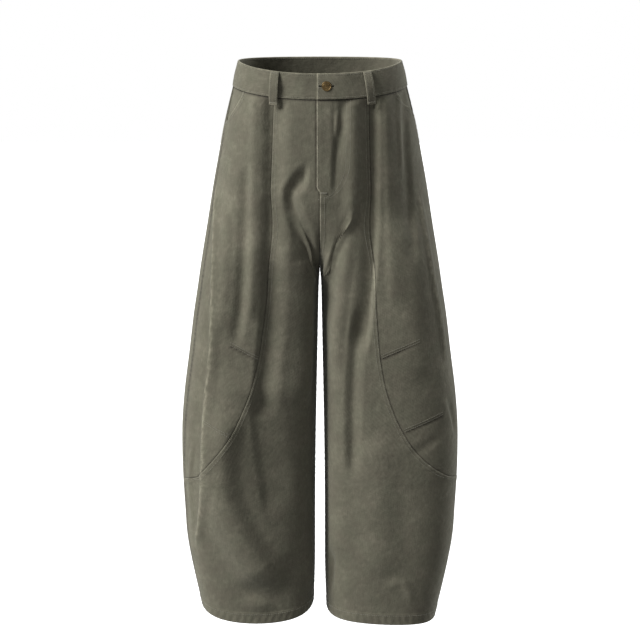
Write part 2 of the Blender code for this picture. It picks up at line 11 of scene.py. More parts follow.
import bmesh
import bpy
import numpy as np
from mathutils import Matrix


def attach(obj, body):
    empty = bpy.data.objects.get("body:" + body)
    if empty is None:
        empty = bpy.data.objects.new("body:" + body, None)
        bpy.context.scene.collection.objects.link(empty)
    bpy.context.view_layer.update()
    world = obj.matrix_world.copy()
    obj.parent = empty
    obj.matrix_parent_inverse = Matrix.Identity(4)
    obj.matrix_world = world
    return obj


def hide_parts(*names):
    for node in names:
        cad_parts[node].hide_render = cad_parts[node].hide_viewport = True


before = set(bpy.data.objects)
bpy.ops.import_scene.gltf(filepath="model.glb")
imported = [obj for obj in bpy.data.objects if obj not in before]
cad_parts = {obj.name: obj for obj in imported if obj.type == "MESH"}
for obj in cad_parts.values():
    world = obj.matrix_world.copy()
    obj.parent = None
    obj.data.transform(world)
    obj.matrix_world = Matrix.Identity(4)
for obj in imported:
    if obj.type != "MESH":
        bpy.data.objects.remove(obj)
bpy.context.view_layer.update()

# The cut of the garment, as in the solids: walls, waistband, the dip of its front, and the hem.
CLOTH = 1.0
BAND_WALL = 3.0
BAND_PROUD = 1.0
BAND_HEIGHT = 45.0
RIM_HEIGHT = 19.5
FRONT_DROP = 17.0
DROP_FADES_AT = -200.0
HEM_LEVEL = -1003.0
HEM_HEIGHT = 20.0
HEM_FADES_AT = -880.0

# How half of the hips' section turns into a leg's at the crotch, and how squared-off both sections are.
CROTCH_LEVEL = -362.0
CROTCH_TOP = -205.0
CROTCH_SQUARE = 2.1
TURN_REACH = 0.06
SPREAD_TOP = -200.0
SPREAD = 0.88
WAIST_SQUARE = 0.035
LEG_SQUARE = 0.055
THIGH_FULLNESS = 0.10

# The fly and the waistband's ends: where the upper edge lies, how far the lower one reaches beneath it,
# where the upper one has come down again, and how far it rides up.
LAP_EDGE = -4.0
LAP_UNDER = 11.0
LAP_FADES_AT = 36.0
LAP_LIFT = 1.8
BAND_UNDER = 26.0
BAND_LAP_FADES_AT = 58.0
BAND_LAP_LIFT = 3.3
FLY_END = -200.0

# The slanted pocket: its upper end as distance from the middle and height, the height of its lower end, how
# its edge bows, and how far the facing reaches and lies beneath it.
POCKET_TOP = (136.0, -28.0)
POCKET_LOW = {"right": -94.0, "left": -80.0}
POCKET_CURVE = 1.55
FACING_UNDER = 12.0
FACING_SUNK = 2.1
FACING_ALLOWANCE = 14.0

# Belt loops, the button's place as distance round the waist and height, and the buttonhole's length and
# height.
LOOP_WIDTH = 13.0
LOOP_WALL = 2.0
LOOP_BOW = 6.0
LOOP_BELOW_BAND = 13.0
BUTTON_PLACE = (8.3, -19.6)
BUTTONHOLE = (20.0, 2.4)
PANEL_TOP = RIM_HEIGHT - BAND_HEIGHT - 0.3
BAND_LOW = PANEL_TOP + 0.3

# Height of each section, then where its outer side, inner side, front and back lie.
SECTION_COLUMNS = ("height", "outer", "inner", "front", "back")
SECTIONS = (
    (20, 145.5, 0.2, 97, 100),
    (-5, 152.0, 0.2, 101, 105),
    (-27, 156.2, 0.2, 104, 110),
    (-50, 162.0, 0.2, 107, 116),
    (-95, 172.8, 0.2, 111, 127),
    (-145, 182.3, 0.2, 114, 136),
    (-196, 191.8, 0.2, 115, 139),
    (-273, 204.4, 0.2, 116, 134),
    (-350, 217.1, 0.4, 117, 122),
    (-390, 223.0, 2.6, 117, 114),
    (-428, 229.0, 3.4, 116, 108),
    (-507, 239.1, 5.0, 113, 99),
    (-586, 249.3, 6.6, 110, 93),
    (-640, 253.7, 7.6, 107, 90),
    (-693, 254.6, 8.4, 104, 88),
    (-746, 253.5, 9.0, 101, 86),
    (-800, 250.8, 9.3, 98, 84),
    (-855, 247.5, 9.4, 94, 82),
    (-910, 238.5, 9.6, 90, 79),
    (-965, 227.0, 11.2, 86, 76),
    (-1010, 217.0, 13.6, 83, 74),
)

# Height of the hem edge at the inseam, front, outer side and back of each leg.
HEM_EDGES = {
    "right": (-988, -1010, -990, -1004),
    "left": (-1000, -1012, -1012, -1008),
}

# The curved front seam, seen from the front: height, then distance from the middle on each side.
PRINCESS_COLUMNS = ("height", "right", "left")
PRINCESS_SEAM = (
    (-27, 83, 87),
    (-130, 86, 89),
    (-225, 89, 92),
    (-358, 91, 97),
    (-415, 95, 100),
    (-458, 101, 103),
    (-507, 109, 108),
    (-561, 123, 118),
    (-590, 134, 127),
    (-616, 145, 137),
    (-646, 160, 152),
    (-670, 176, 167),
    (-692, 192, 186),
    (-715, 210, 213),
    (-728, 222, 232),
)
PRINCESS_END = {"right": -741.0, "left": -748.0}

# How far round the side seam lies at each height. 0.5 is the outermost point.
SIDE_SEAM_COLUMNS = ("height", "right", "left")
SIDE_SEAM = (
    (-27, 0.470, 0.470),
    (-95, 0.436, 0.495),
    (-200, 0.428, 0.512),
    (-330, 0.424, 0.520),
    (-620, 0.430, 0.520),
    (-745, 0.444, 0.520),
    (-1010, 0.455, 0.512),
)

# Where a row's two edges lie lower or higher than its middle, so that rows follow the crotch as it turns
# under.
TILT_COLUMNS = ("side", "edge")
TILT = (
    (-132, -132), (-156, -158), (-182, -186), (-208, -214), (-233, -243), (-257, -272), (-279, -298),
    (-299, -320), (-317, -337), (-333, -349), (-348, -358.5), (-362, -362), (-378, -366), (-397, -380),
    (-420, -408), (-446, -440), (-474, -472), (-503, -503),
)

# The sharp crease down the outside of each thigh: a fold whose crest is painted paler, as wash wear and a
# painted highlight, with painted shade at its outer foot. Places are given as distance from the middle and
# height, here and below.
THIGH_CREASE = {
    "right": ((186, -196), (189, -320), (192, -405), (198, -515), (205, -580), (209, -640), (210, -700),
              (214, -760), (221, -815), (230, -870)),
    "left": ((173, -205), (186, -277), (199, -354), (211, -417), (221, -482), (227, -529)),
}

# How pale the crease's crest is painted, as wash wear and highlight, how far it takes to fade out at its
# ends, and how wide the pale line is. Then how dark the painted shade at the foot beside it is, how far out
# that lies, and how wide it is.
CREASE_WEAR_AND_HIGHLIGHT = 0.9
CREASE_FADE = 30.0
CREASE_WIDTH = 2.7
CREASE_SHADE = 0.27
CREASE_FOOT = 4.5
FOOT_WIDTH = 2.4

# Soft folds: the half they lie on, front or back, how far they stand out (less than 0 sinks in), the
# distance from crest to edge on the outer side and on the inner side, and the places they run through. A
# short reach on one side makes that side of the fold steep.
FOLD_COLUMNS = ("half", "face", "rise", "outer", "inner", "places")
FOLDS = (
    ("right", "front", -10.0, 21, 38, ((85, 6), (85, -60), (86, -131), (87, -225), (88, -325), (91, -430),
         (100, -520), (110, -620))),
    ("right", "front", 3.5, 14, 16, ((114, 6), (117, -184), (119, -325), (126, -450))),
    ("right", "front", -5.5, 18, 15, ((133, -150), (135, -291), (140, -397), (152, -490))),
    ("right", "front", 3.0, 16, 18, ((167, -224), (171, -363), (178, -472))),
    ("right", "front", 4.5, 5, 24, THIGH_CREASE["right"]),
    ("right", "front", 2.0, 12, 9, ((228, -650), (237, -734), (234, -830))),
    ("right", "front", -5.0, 16, 14, ((34, -176), (52, -204), (51, -232), (38, -268))),
    ("right", "front", -8.0, 24, 20, ((-6, -146), (14, -164), (34, -184), (50, -206), (47, -232), (36, -260),
         (22, -290), (9, -322), (0, -350))),
    ("right", "front", 7.0, 52, 14, ((20, -310), (20, -400), (22, -500), (27, -600))),
    ("right", "front", -4.0, 18, 60, ((112, -560), (110, -630), (102, -700), (88, -800))),
    ("right", "front", 10.0, 60, 38, ((160, -590), (176, -690), (176, -740), (152, -814), (127, -863),
         (98, -905), (60, -940))),
    ("right", "front", 10.0, 60, 130, ((150, -520), (168, -620), (182, -740), (162, -820), (132, -880),
         (100, -935))),
    ("right", "front", 4.0, 22, 18, ((150, -955), (112, -966), (80, -975))),
    ("left", "front", -10.0, 10, 34, ((96, 6), (97, -70), (97, -148), (96, -254), (92, -350), (85, -430),
         (76, -500))),
    ("left", "front", -6.0, 22, 17, ((72, -400), (63, -480), (59, -560), (58, -640), (61, -735))),
    ("left", "front", 7.0, 16, 12, ((62, -225), (50, -262), (37, -281), (30, -300), (21, -320), (17, -336),
         (6, -385))),
    ("right", "front", 3.5, 14, 11, ((46, -262), (37, -281), (30, -300), (21, -320), (17, -336), (6, -385))),
    ("left", "front", 5.5, 60, 14, ((20, -400), (22, -560), (24, -740), (26, -900))),
    ("left", "front", 3.0, 30, 12, ((116, 6), (118, -131), (122, -260), (130, -420))),
    ("left", "front", -4.0, 14, 20, ((150, -10), (153, -131), (159, -230), (166, -340))),
    ("left", "front", 2.0, 9, 9, ((136, 6), (139, -60), (143, -130), (146, -190))),
    ("left", "front", 3.5, 40, 62, ((158, -250), (166, -360), (170, -460), (174, -560))),
    ("left", "front", 4.0, 22, 5, THIGH_CREASE["left"]),
    ("left", "front", -2.2, 14, 13, ((17, 6), (22, -60), (25, -110), (18, -160), (15, -215))),
    ("left", "front", -3.2, 15, 14, ((41, 6), (38, -70), (30, -130), (23, -190), (17, -225))),
    ("left", "front", 4.0, 18, 22, ((57, 6), (57, -150), (54, -240), (49, -310), (40, -380), (33, -460),
         (30, -540))),
    ("left", "front", 4.5, 50, 60, ((102, -640), (106, -740), (108, -840), (116, -930))),
    ("left", "front", 2.2, 15, 15, ((116, -950), (126, -932), (147, -924), (164, -944), (172, -976))),
    ("left", "front", -4.0, 12, 14, ((26, -860), (21, -930), (19, -970))),
    ("left", "front", -4.5, 14, 12, ((226, -570), (240, -610), (248, -665))),
    ("left", "front", -2.0, 16, 12, ((150, -690), (190, -668), (226, -640))),
    ("left", "front", -2.2, 7, 7, ((12, -40), (11, -64), (8, -84))),
    ("left", "front", 2.4, 7, 7, ((30, -40), (29, -72), (28, -110))),
    ("left", "front", -2.4, 6, 6, ((5, -170), (14, -186), (24, -190))),
    ("left", "front", 2.2, 6, 6, ((6, -182), (15, -196), (22, -206))),
    ("right", "back", -7.0, 26, 20, ((30, -300), (80, -330), (130, -335))),
    ("right", "back", -5.5, 24, 22, ((40, -395), (90, -425), (150, -430))),
    ("right", "back", -6.0, 24, 22, ((60, -560), (130, -590), (190, -580))),
    ("right", "back", -7.0, 26, 22, ((190, -790), (130, -860), (80, -900))),
    ("right", "back", 5.0, 22, 26, ((150, -60), (158, -180), (172, -300), (186, -420))),
    ("right", "back", -5.0, 20, 16, ((112, -70), (118, -170), (130, -260))),
    ("right", "back", 4.5, 14, 26, ((205, -480), (222, -600), (226, -720))),
    ("left", "back", -7.0, 26, 20, ((28, -296), (84, -322), (138, -338))),
    ("left", "back", -5.5, 24, 22, ((44, -400), (96, -418), (144, -440))),
    ("left", "back", -6.0, 24, 22, ((56, -575), (120, -595), (196, -570))),
    ("left", "back", -7.0, 26, 22, ((176, -800), (136, -850), (70, -915))),
    ("left", "back", 5.0, 22, 26, ((146, -70), (156, -190), (168, -310), (180, -430))),
    ("left", "back", -5.0, 18, 18, ((104, -66), (112, -180), (120, -250))),
    ("left", "back", 4.5, 14, 26, ((210, -500), (224, -620), (222, -740))),
)

# Knee darts: the half, then the inner and the outer end, seen from the front.
KNEE_DARTS = (
    ("right", (110, -507), (159, -481)),
    ("right", (161, -646), (207, -624)),
    ("left", (110, -504), (178, -474)),
    ("left", (152, -641), (223, -612)),
)
DART_DEPTH = 1.0
DART_REACH = 5.0
DART_WIDTH = 2.3
DART_GROOVE = 0.35
DART_SHADE = 0.75

# Belt loops: where each sits as a share of the waist, and how far its two ends are moved on from there.
LOOP_COLUMNS = ("name", "share", "top", "low")
LOOPS = (
    ("loop_front_left", 0.0, 64.0, 71.5),
    ("loop_front_right", 1.0, -61.0, -63.5),
    ("loop_back_left", 0.355, 0.0, 0.0),
    ("loop_back_right", 0.645, 0.0, 0.0),
    ("loop_back_centre", 0.5, 0.0, 0.0),
)
LOOP_ROWS = [dict(zip(LOOP_COLUMNS, loop)) for loop in LOOPS]

# Grid of a panel: columns and rows crowd at its edges, so that lapped seams and the hem are round. Then how
# far a lower edge reaches beneath its neighbour, how far an upper one is turned past the seam, and how far
# the top is tucked under the waistband.
EDGE_MARKS = np.array((0.0, 0.5, 1.2, 2.2, 3.6, 5.2, 6.8, 8.6, 11.0, 14.5))
STEP = 4.0
CLOTH_ANGLE = 50
SEAM_LAP = 6.0
SEAM_TURN = 0.35
TOP_TUCK = 2.0

# How much paler than plain cloth the panels' edges are, beside the middle and the side seam: wash wear and
# painted highlight.
PLAIN_WEAR_AND_HIGHLIGHT = (0.5, 0.5)
EDGE_WEAR_AND_HIGHLIGHT = {
    "front_left": (1.3, 0.6),
    "front_right": (0.5, 0.2),
    "side_left": (0.5, 1.1),
    "side_right": (0.5, 1.1),
}

# How far before the side seam the painted shade is darkest, where the seam draws the cloth in.
SEAM_SHADE = {"right": 5.0, "left": 2.0}

# Lapped seams: how far the upper edge stands up over what is turned in beneath it, how far in that reaches,
# over what length it comes down again, how much both edges are rounded off, and how far the lower one dips.
LAP_RISE = 0.36
LAP_REACH = 7.0
LAP_FADE = 3.5
EDGE_ROUND = 0.45
UNDER_DIP = 0.25

# Puckers beside a tight seam: their height, the lengths of their two waves, and the length that their pace
# sways by.
PUCKER = 0.34
PUCKER_WAVES = (9.7, 15.3)
PUCKER_SWAY = 61.0

# The turned hem: how far it stands out, how much thicker it is, and the height, pitch and slant of the ropes
# that it twists itself into. Then how far a panel's top dips under the waistband.
HEM_RISE = 0.45
HEM_THICKER = 1.2
ROPE_RISE = 0.35
ROPE_PITCH = 13.0
ROPE_SLANT = 30.0
TOP_DIP = 1.1

# Folds: how far they take to fade out at their ends, how far they stay clear of the middle and how softly
# they start there, and how far below the waistband they are held flat.
FOLD_FADE = 45.0
FOLD_CLEAR = 3.0
FOLD_EASE = 14.0
BAND_HOLDS = 18.0

# The waistband: columns of its plain stretch, the shares of the way round that it runs between, how much
# its rim, lower edge and outer end are rounded off, and how far its surface is crumpled.
BAND_COLUMNS = 236
BAND_PLAIN = (0.068, 0.985)
RIM_ROUND = 0.9
LOW_ROUND = 0.8
CRUMPLE = 0.5

# Stitches are drawn a third thicker than real thread, so that a row of them shows at the photograph's scale.
# Those of a bar lie closer together.
STITCH_PITCH = 3.4
STITCH_LENGTH = 2.7
THREAD = 0.75
BAR_PITCH = 1.6

# How far rows of stitches lie from their edge, seam or dart, and how high over a lapped seam.
CURVED_SEAM_ROWS = (1.8, 6.6)
FLY_EDGE_ROW = 1.8
CROTCH_ROWS = (2.2, 8.0)
POCKET_ROWS = (1.8, 7.6)
DART_ROWS = (2.4, 7.0)
CENTRE_BACK_ROWS = (2.0, 8.0)
BAND_ROW = 3.2
LOOP_ROW = 2.6
HEM_ROW = 2.5
ON_LAP = LAP_RISE - 0.1
LINE_STEP = 3.0

# The fly's two curved rows: distance from the middle where they run straight and at their foot, the share
# of them that is straight, and the gap between them.
FLY_WIDTH = 40.0
FLY_FOOT = 3.0
FLY_STRAIGHT = 0.62
FLY_GAPS = (0.0, 5.5)

# The button's profile, as distance from its axis and height over the waistband: a shank, a rolled rim, a
# sunk ring and a domed middle.
BUTTON_PROFILE = (
    (0.01, -2.6), (1.4, -2.6), (1.4, -0.1), (1.6, 0.0), (7.4, 0.0), (8.2, 0.15), (8.6, 0.7), (8.55, 1.2),
    (8.15, 1.75), (7.65, 1.95), (7.15, 1.85), (6.8, 1.45), (6.5, 1.25), (6.0, 1.3), (5.7, 1.55), (5.4, 1.62),
    (5.0, 1.5), (3.6, 1.62), (2.4, 1.85), (1.2, 1.98), (0.01, 2.02),
)
BUTTON_ANGLE = 35
POLE_GAP = 0.00003

# The weave, in metres and degrees. Real ribs are 0.6 mm apart. They are drawn 2 mm apart so that they show
# from a step away. A wave texture of scale 1 repeats every 0.314 m.
RIB_PITCH = 0.002
RIB_SLANT = 27
WAVE_PERIOD = 0.314

# The photograph's view and the floor, in metres, degrees and, for the lens, millimetres.
CAMERA_PLACE = (0.0, -3.6, 0.25)
CAMERA_PITCH = 11.07
LENS = 112.5
FLOOR_DROP = 0.60
FLOOR_REACH = 14.0

# The twill's colour, from painted shade inside seams, creases, darts and hollows, through a darker tone
# that the wash's blotches and painted shade share, to a pale edge of wash wear and painted highlight, and
# its two faint tints.
TWILL_PAINTED_SHADE = "#1d1b17"
TWILL_DEEP = "#4a463e"
TWILL = "#5b584e"
TWILL_WEAR_AND_HIGHLIGHT = "#8f8a7d"
TWILL_WARM = "#fffaf4"
TWILL_GREEN = "#f8fff2"
TWILL_NAP = "#d9dcd0"

# The colours of the thread, the button, the floor and the surround.
THREAD_DARK = "#625f52"
THREAD_PALE = "#7d7a6b"
BRASS_DARK = "#483c2a"
BRASS = "#6c5a3b"
FLOOR_PALE = "#f8f8f8"
SURROUND = "#f7f8fa"
PAPER = "#ffffff"

# Soft lights from far away: the azimuth, with 0 from the front and 90 from the right, the elevation, the
# strength, and how wide the light is, in degrees.
LIGHTS = (
    ("key_light", -66, 36, 6.0, 24),
    ("edge_light", 115, 28, 1.9, 30),
)
FILL_STRENGTH = 0.33


def smooth_curve(places, values, at):
    """Cubic curve through the given values, sloped by the differences on each side, level past the ends."""
    order = np.argsort(places)
    places = np.asarray(places, float)[order]
    values = np.asarray(values, float)[order]
    slopes = np.gradient(values, places)
    at = np.clip(at, places[0], places[-1])
    index = np.clip(np.searchsorted(places, at) - 1, 0, len(places) - 2)
    step = places[index + 1] - places[index]
    part = (at - places[index]) / step
    start = (1 + 2 * part) * (1 - part) ** 2 * values[index] + part * (1 - part) ** 2 * step * slopes[index]
    end = part**2 * (3 - 2 * part) * values[index + 1] + part**2 * (part - 1) * step * slopes[index + 1]
    return start + end


def column(table, columns, name):
    """One named column of a table."""
    place = columns.index(name)
    return [row[place] for row in table]


def ease(part):
    """0 below 0, 1 above 1, and 3 p^2 - 2 p^3 between."""
    part = np.clip(part, 0, 1)
    return part * part * (3 - 2 * part)


def bell(distance, width):
    """e to the power of minus the square of distance / width: 1 at 0, fading away on both sides."""
    return np.exp(-((distance / width) ** 2))


def unit(vectors):
    """Vectors divided by their lengths."""
    return vectors / np.linalg.norm(vectors, axis=-1, keepdims=True)


def section(name, height):
    """A size of the section at each height."""
    known = column(SECTIONS, SECTION_COLUMNS, "height")
    return smooth_curve(known, column(SECTIONS, SECTION_COLUMNS, name), height)


def leg_share(around, height):
    """0 where the section is half of the hips, 1 where it is a leg.

    Near the middle it follows a quarter of a squared-off circle, which turns the crotch seam under. Further
    round it is a plain smooth step.
    """
    part = np.clip((CROTCH_TOP - height) / (CROTCH_TOP - CROTCH_LEVEL), 0, 1)
    turned = 1 - (1 - part**CROTCH_SQUARE) ** (1 / CROTCH_SQUARE)
    further = ease((np.minimum(around, 1 - around) - TURN_REACH) / TURN_REACH)
    return turned + (ease(part) - turned) * further


def hip_turn(around, height):
    """The angle round the hips: pi times how far round, spread towards the crotch to arcsin(sin^2) of it."""
    plain = np.pi * around
    reach = np.arcsin(np.clip(np.sin(plain) ** 2, 0, 1))
    spread = np.where(around < 0.5, reach, np.pi - reach) * np.where(around < 0, -1, 1)
    spread = np.where(around > 1, np.pi + reach, spread)
    amount = SPREAD * ease((SPREAD_TOP - height) / (SPREAD_TOP - CROTCH_LEVEL))
    return plain + (spread - plain) * amount


def true_height(half, around, level, edge_level):
    """A row's height: its level, tilted to the edge level by cos^4, with the rim's dip and the hem's line."""
    height = level + (edge_level - level) * np.cos(np.pi * around) ** 4
    front = np.where(around < 0.5, 0.5 + 0.5 * np.cos(2 * np.pi * around), 0)
    height = height - FRONT_DROP * front * ease((level - DROP_FADES_AT) / (-27 - DROP_FADES_AT))
    inner, forward, outer, back = HEM_EDGES[half]
    turn = 2 * np.pi * around
    mean = (inner + forward + outer + back) / 4
    sway = (inner - outer) / 2 * np.cos(turn) + (forward - back) / 2 * np.sin(turn)
    twice = (inner + outer - forward - back) / 4 * np.cos(2 * turn)
    low = ease((HEM_FADES_AT - level) / (HEM_FADES_AT - HEM_LEVEL))
    return height + (mean - HEM_LEVEL + sway + twice) * low


def base_point(half, around, level, edge_level):
    """A point of the smooth half, as x outwards, y and z.

    It blends two squared-off ellipses by the leg's share: half of the hips' one and the whole of the leg's.
    """
    height = true_height(half, around, level, edge_level)
    size_at = np.minimum(height, 20)
    outer, inner = section("outer", size_at), section("inner", size_at)
    front, back = section("front", size_at), section("back", size_at)
    middle, depth = (back - front) / 2, (back + front) / 2
    share = leg_share(around, height)
    depth = depth * (1 + THIGH_FULLNESS * share * (1 - share))
    turn = hip_turn(around, height)
    hip_x = outer * (np.sin(turn) + WAIST_SQUARE * np.sin(3 * turn)) / (1 - WAIST_SQUARE)
    hip_y = middle - depth * (np.cos(turn) - WAIST_SQUARE * np.cos(3 * turn)) / (1 - WAIST_SQUARE)
    turn = 2 * np.pi * around
    leg_wide = (np.cos(turn) - LEG_SQUARE * np.cos(3 * turn)) / (1 - LEG_SQUARE)
    leg_deep = (np.sin(turn) + LEG_SQUARE * np.sin(3 * turn)) / (1 - LEG_SQUARE)
    leg_x = (outer + inner) / 2 - (outer - inner) / 2 * leg_wide
    leg_y = middle - depth * leg_deep
    x = (1 - share) * hip_x + share * leg_x
    y = (1 - share) * hip_y + share * leg_y
    return np.stack([x, y, height], axis=-1)


def half_round(level):
    """Length of the half section at a level, from the mean of its two squared half sizes."""
    outer, inner = section("outer", level), section("inner", level)
    depth = (section("front", level) + section("back", level)) / 2
    share = leg_share(0.5, level)
    hips = math.pi * np.sqrt((outer**2 + depth**2) / 2)
    leg = 2 * math.pi * np.sqrt((((outer - inner) / 2) ** 2 + depth**2) / 2)
    return (1 - share) * hips + share * leg


AROUND_STEPS = np.linspace(0, 1, 401)


def around_at(half, face, across, level):
    """How far round a point lies that is seen at this distance from the middle, on the front or the back."""
    steps = AROUND_STEPS[:201] if face == "front" else AROUND_STEPS[:199:-1]
    found = []
    for far, height in zip(np.atleast_1d(across), np.atleast_1d(level)):
        seen = base_point(half, steps, height, height)[:, 0]
        rising = np.maximum.accumulate(seen) + np.arange(len(seen)) * 1e-6
        found.append(np.interp(far, rising, steps))
    return np.array(found)


def side_around(half, level):
    """How far round the side seam lies."""
    known = column(SIDE_SEAM, SIDE_SEAM_COLUMNS, "height")
    return smooth_curve(known, column(SIDE_SEAM, SIDE_SEAM_COLUMNS, half), level)


def princess_around(half, level):
    """How far round the curved front seam lies. It sweeps out to the side seam over its last stretch."""
    known = column(PRINCESS_SEAM, PRINCESS_COLUMNS, "height")
    heights = np.append(np.arange(known[0], known[-1], -9.0), known[-1])
    across = smooth_curve(known, column(PRINCESS_SEAM, PRINCESS_COLUMNS, half), heights)
    rounds = np.append(around_at(half, "front", across, heights), side_around(half, PRINCESS_END[half]))
    return smooth_curve(np.append(heights, PRINCESS_END[half]), rounds, level)


def front_seam_around(half, level):
    """The outer edge of the front: the curved seam, and below its end the side seam."""
    return np.where(level > PRINCESS_END[half], princess_around(half, level), side_around(half, level))


def pocket_around(half, level):
    """How far round the slanted pocket edge lies: from the waistband out to the side seam."""
    across, top = POCKET_TOP
    start = around_at(half, "front", across, top)[0]
    low = POCKET_LOW[half]
    end = side_around(half, low)
    return start + (end - start) * np.clip((top - level) / (top - low), 0, 1) ** POCKET_CURVE


def line_gap(point, places):
    """Distance of points from a line, how far along it that is, its length, and how far outwards they lie."""
    lengths = np.linalg.norm(np.diff(places, axis=0), axis=1)
    starts = np.concatenate([[0], np.cumsum(lengths)])
    nearest = np.full(point.shape[:-1], np.inf)
    along = np.zeros(point.shape[:-1])
    beyond = np.zeros(point.shape[:-1])
    for start, end, length, before in zip(places[:-1], places[1:], lengths, starts[:-1]):
        part = np.clip(((point - start) @ (end - start)) / length**2, 0, 1)
        away = point - (start + part[..., None] * (end - start))
        gap = np.linalg.norm(away, axis=-1)
        closer = gap < nearest
        nearest = np.where(closer, gap, nearest)
        along = np.where(closer, before + part * length, along)
        beyond = np.where(closer, away[..., 0], beyond)
    return nearest, along, starts[-1], beyond


def soft_line(places, step=14.0):
    """Places evened out to a soft curve, at about even steps."""
    places = np.array(places, float)
    run = np.concatenate([[0], np.cumsum(np.linalg.norm(np.diff(places, axis=0), axis=1))])
    at = np.linspace(0, run[-1], max(int(run[-1] / step), 4))
    return smooth_curve(run, places[:, 0], at), smooth_curve(run, places[:, 1], at)


def line_on(half, face, places):
    """A line on the smooth surface through places given as distance from the middle and height."""
    across, levels = soft_line(places)
    return base_point(half, around_at(half, face, across, levels), levels, levels)


def laid_folds(half):
    """Each fold of a half as its rise, both reaches and its line on the smooth surface."""
    laid = []
    rows = [dict(zip(FOLD_COLUMNS, row)) for row in FOLDS]
    for dart_half, inner_end, outer_end in KNEE_DARTS:
        ends = (inner_end, outer_end)
        rows.append(dict(zip(FOLD_COLUMNS, (dart_half, "front", -DART_DEPTH, DART_REACH, DART_REACH, ends))))
    for row in rows:
        if row["half"] == half:
            laid.append((row["rise"], row["outer"], row["inner"], line_on(half, row["face"], row["places"])))
    return laid


LAID_FOLDS = {half: laid_folds(half) for half in ("right", "left")}


def dart_line(half, inner_end, outer_end, count=24):
    """How far round and at which levels a knee dart runs, at even steps from its inner to its outer end."""
    part = np.linspace(0, 1, count)[:, None]
    across, level = (np.array(inner_end) + (np.array(outer_end) - inner_end) * part).T
    return around_at(half, "front", across, level), level


CREASE_LINES = {half: line_on(half, "front", places) for half, places in THIGH_CREASE.items()}


def crease_wear_highlight_and_shade(half, point):
    """How pale the crease's crest is, as wash wear and painted highlight, and how dark its foot's painted
    shade.

    Both are narrow bells across the crease, eased off at its two ends.
    """
    nearest, along, length, beyond = line_gap(point, CREASE_LINES[half])
    ends = ease(along / CREASE_FADE) * ease((length - along) / CREASE_FADE)
    wear_and_highlight = CREASE_WEAR_AND_HIGHLIGHT * ends * bell(nearest, CREASE_WIDTH)
    shaded = CREASE_SHADE * ends * (bell(nearest - CREASE_FOOT, FOOT_WIDTH) * (beyond > 0))
    return wear_and_highlight, shaded


DART_LINES = {
    half: [base_point(half, around, level, level) for around, level in
           (dart_line(half, *dart[1:]) for dart in KNEE_DARTS if dart[0] == half)]
    for half in ("right", "left")
}


def fold_rise(half, point):
    """How far the folds lift each point: rise times half a cosine wave across, eased off towards both ends.

    The wave is as long as the outer or the inner reach, turning softly from one to the other past the crest.
    """
    total = np.zeros(point.shape[:-1])
    for rise, outer, inner, places in LAID_FOLDS[half]:
        nearest, along, length, beyond = line_gap(point, places)
        fade = min(FOLD_FADE, 0.45 * length)
        ends = ease(along / fade) * ease((length - along) / fade)
        side = 0.5 + 0.5 * np.clip(beyond / np.maximum(nearest, 2.0), -1, 1)
        reach = inner + (outer - inner) * side
        total += rise * ends * (0.5 + 0.5 * np.cos(np.pi * np.clip(nearest / reach, 0, 1)))
    return total


def outward(surface, half, around, level, edge_level):
    """The outward direction: the cross product of short steps round the surface and down it."""
    step = np.where(around < 0.5, 0.002, -0.002)
    here = surface(half, around, level, edge_level)
    round_way = (surface(half, around + step, level, edge_level) - here) / step[..., None]
    lower = surface(half, around, level - 0.8, edge_level - 0.8)
    upper = surface(half, around, level + 0.8, edge_level + 0.8)
    normal = np.cross(round_way, lower - upper)
    return -unit(normal)


def folded_point(half, around, level, edge_level):
    """A point of the garment's outer face with its folds, which stay clear of the middle and waistband."""
    point = base_point(half, around, level, edge_level)
    edges = [base_point(half, 0 * around + end, level, edge_level) for end in (0.0, 1.0)]
    from_edge = np.minimum(*[np.linalg.norm(point - edge, axis=-1) for edge in edges])
    from_edge = np.where((around < 0) | (around > 1), 0, from_edge)
    clear = FOLD_CLEAR + (LAP_UNDER + 2) * ease((point[..., 2] - FLY_END + 30) / 15)
    held = ease((PANEL_TOP + 3 - level) / BAND_HOLDS)
    rise = fold_rise(half, point) * ease((from_edge - clear) / FOLD_EASE) * held
    return point + outward(base_point, half, around, level, edge_level) * rise[..., None]


def lap_lift(half, around, level):
    """How far the wearer's-left front rides up to lie over the right one, down the fly."""
    if half == "right":
        return np.zeros(np.broadcast(around, level).shape)
    from_middle = around * half_round(level)
    across = 1 - ease((from_middle - LAP_UNDER - 1) / (LAP_FADES_AT - LAP_UNDER - 1))
    return LAP_LIFT * across * ease((level - FLY_END + 28) / 18)


def keep_side(points, around):
    """Keeps each half clear of the other at the middle, apart from what laps over."""
    inside = (around >= 0) & (around <= 1)
    near = np.where(inside, np.maximum(points[..., 0], 0.05), points[..., 0])
    return np.concatenate([near[..., None], points[..., 1:]], axis=-1)


def mirrored(points, half):
    """Points with x outwards turned to real places: the wearer's right is -X."""
    return points * np.array([-1.0 if half == "right" else 1.0, 1.0, 1.0])


def edge_level_of(side):
    """The level of a row's edges: its own level plus the tilt there."""
    sides, edges = np.array(column(TILT, TILT_COLUMNS, "side")), np.array(column(TILT, TILT_COLUMNS, "edge"))
    return side + smooth_curve(sides, edges - sides, side)


def speed_at(half, around, side):
    """Millimetres round the surface for each unit of around."""
    edge = edge_level_of(side)
    step = base_point(half, around + 0.002, side, edge) - base_point(half, around, side, edge)
    return np.linalg.norm(step, axis=-1) / 0.002


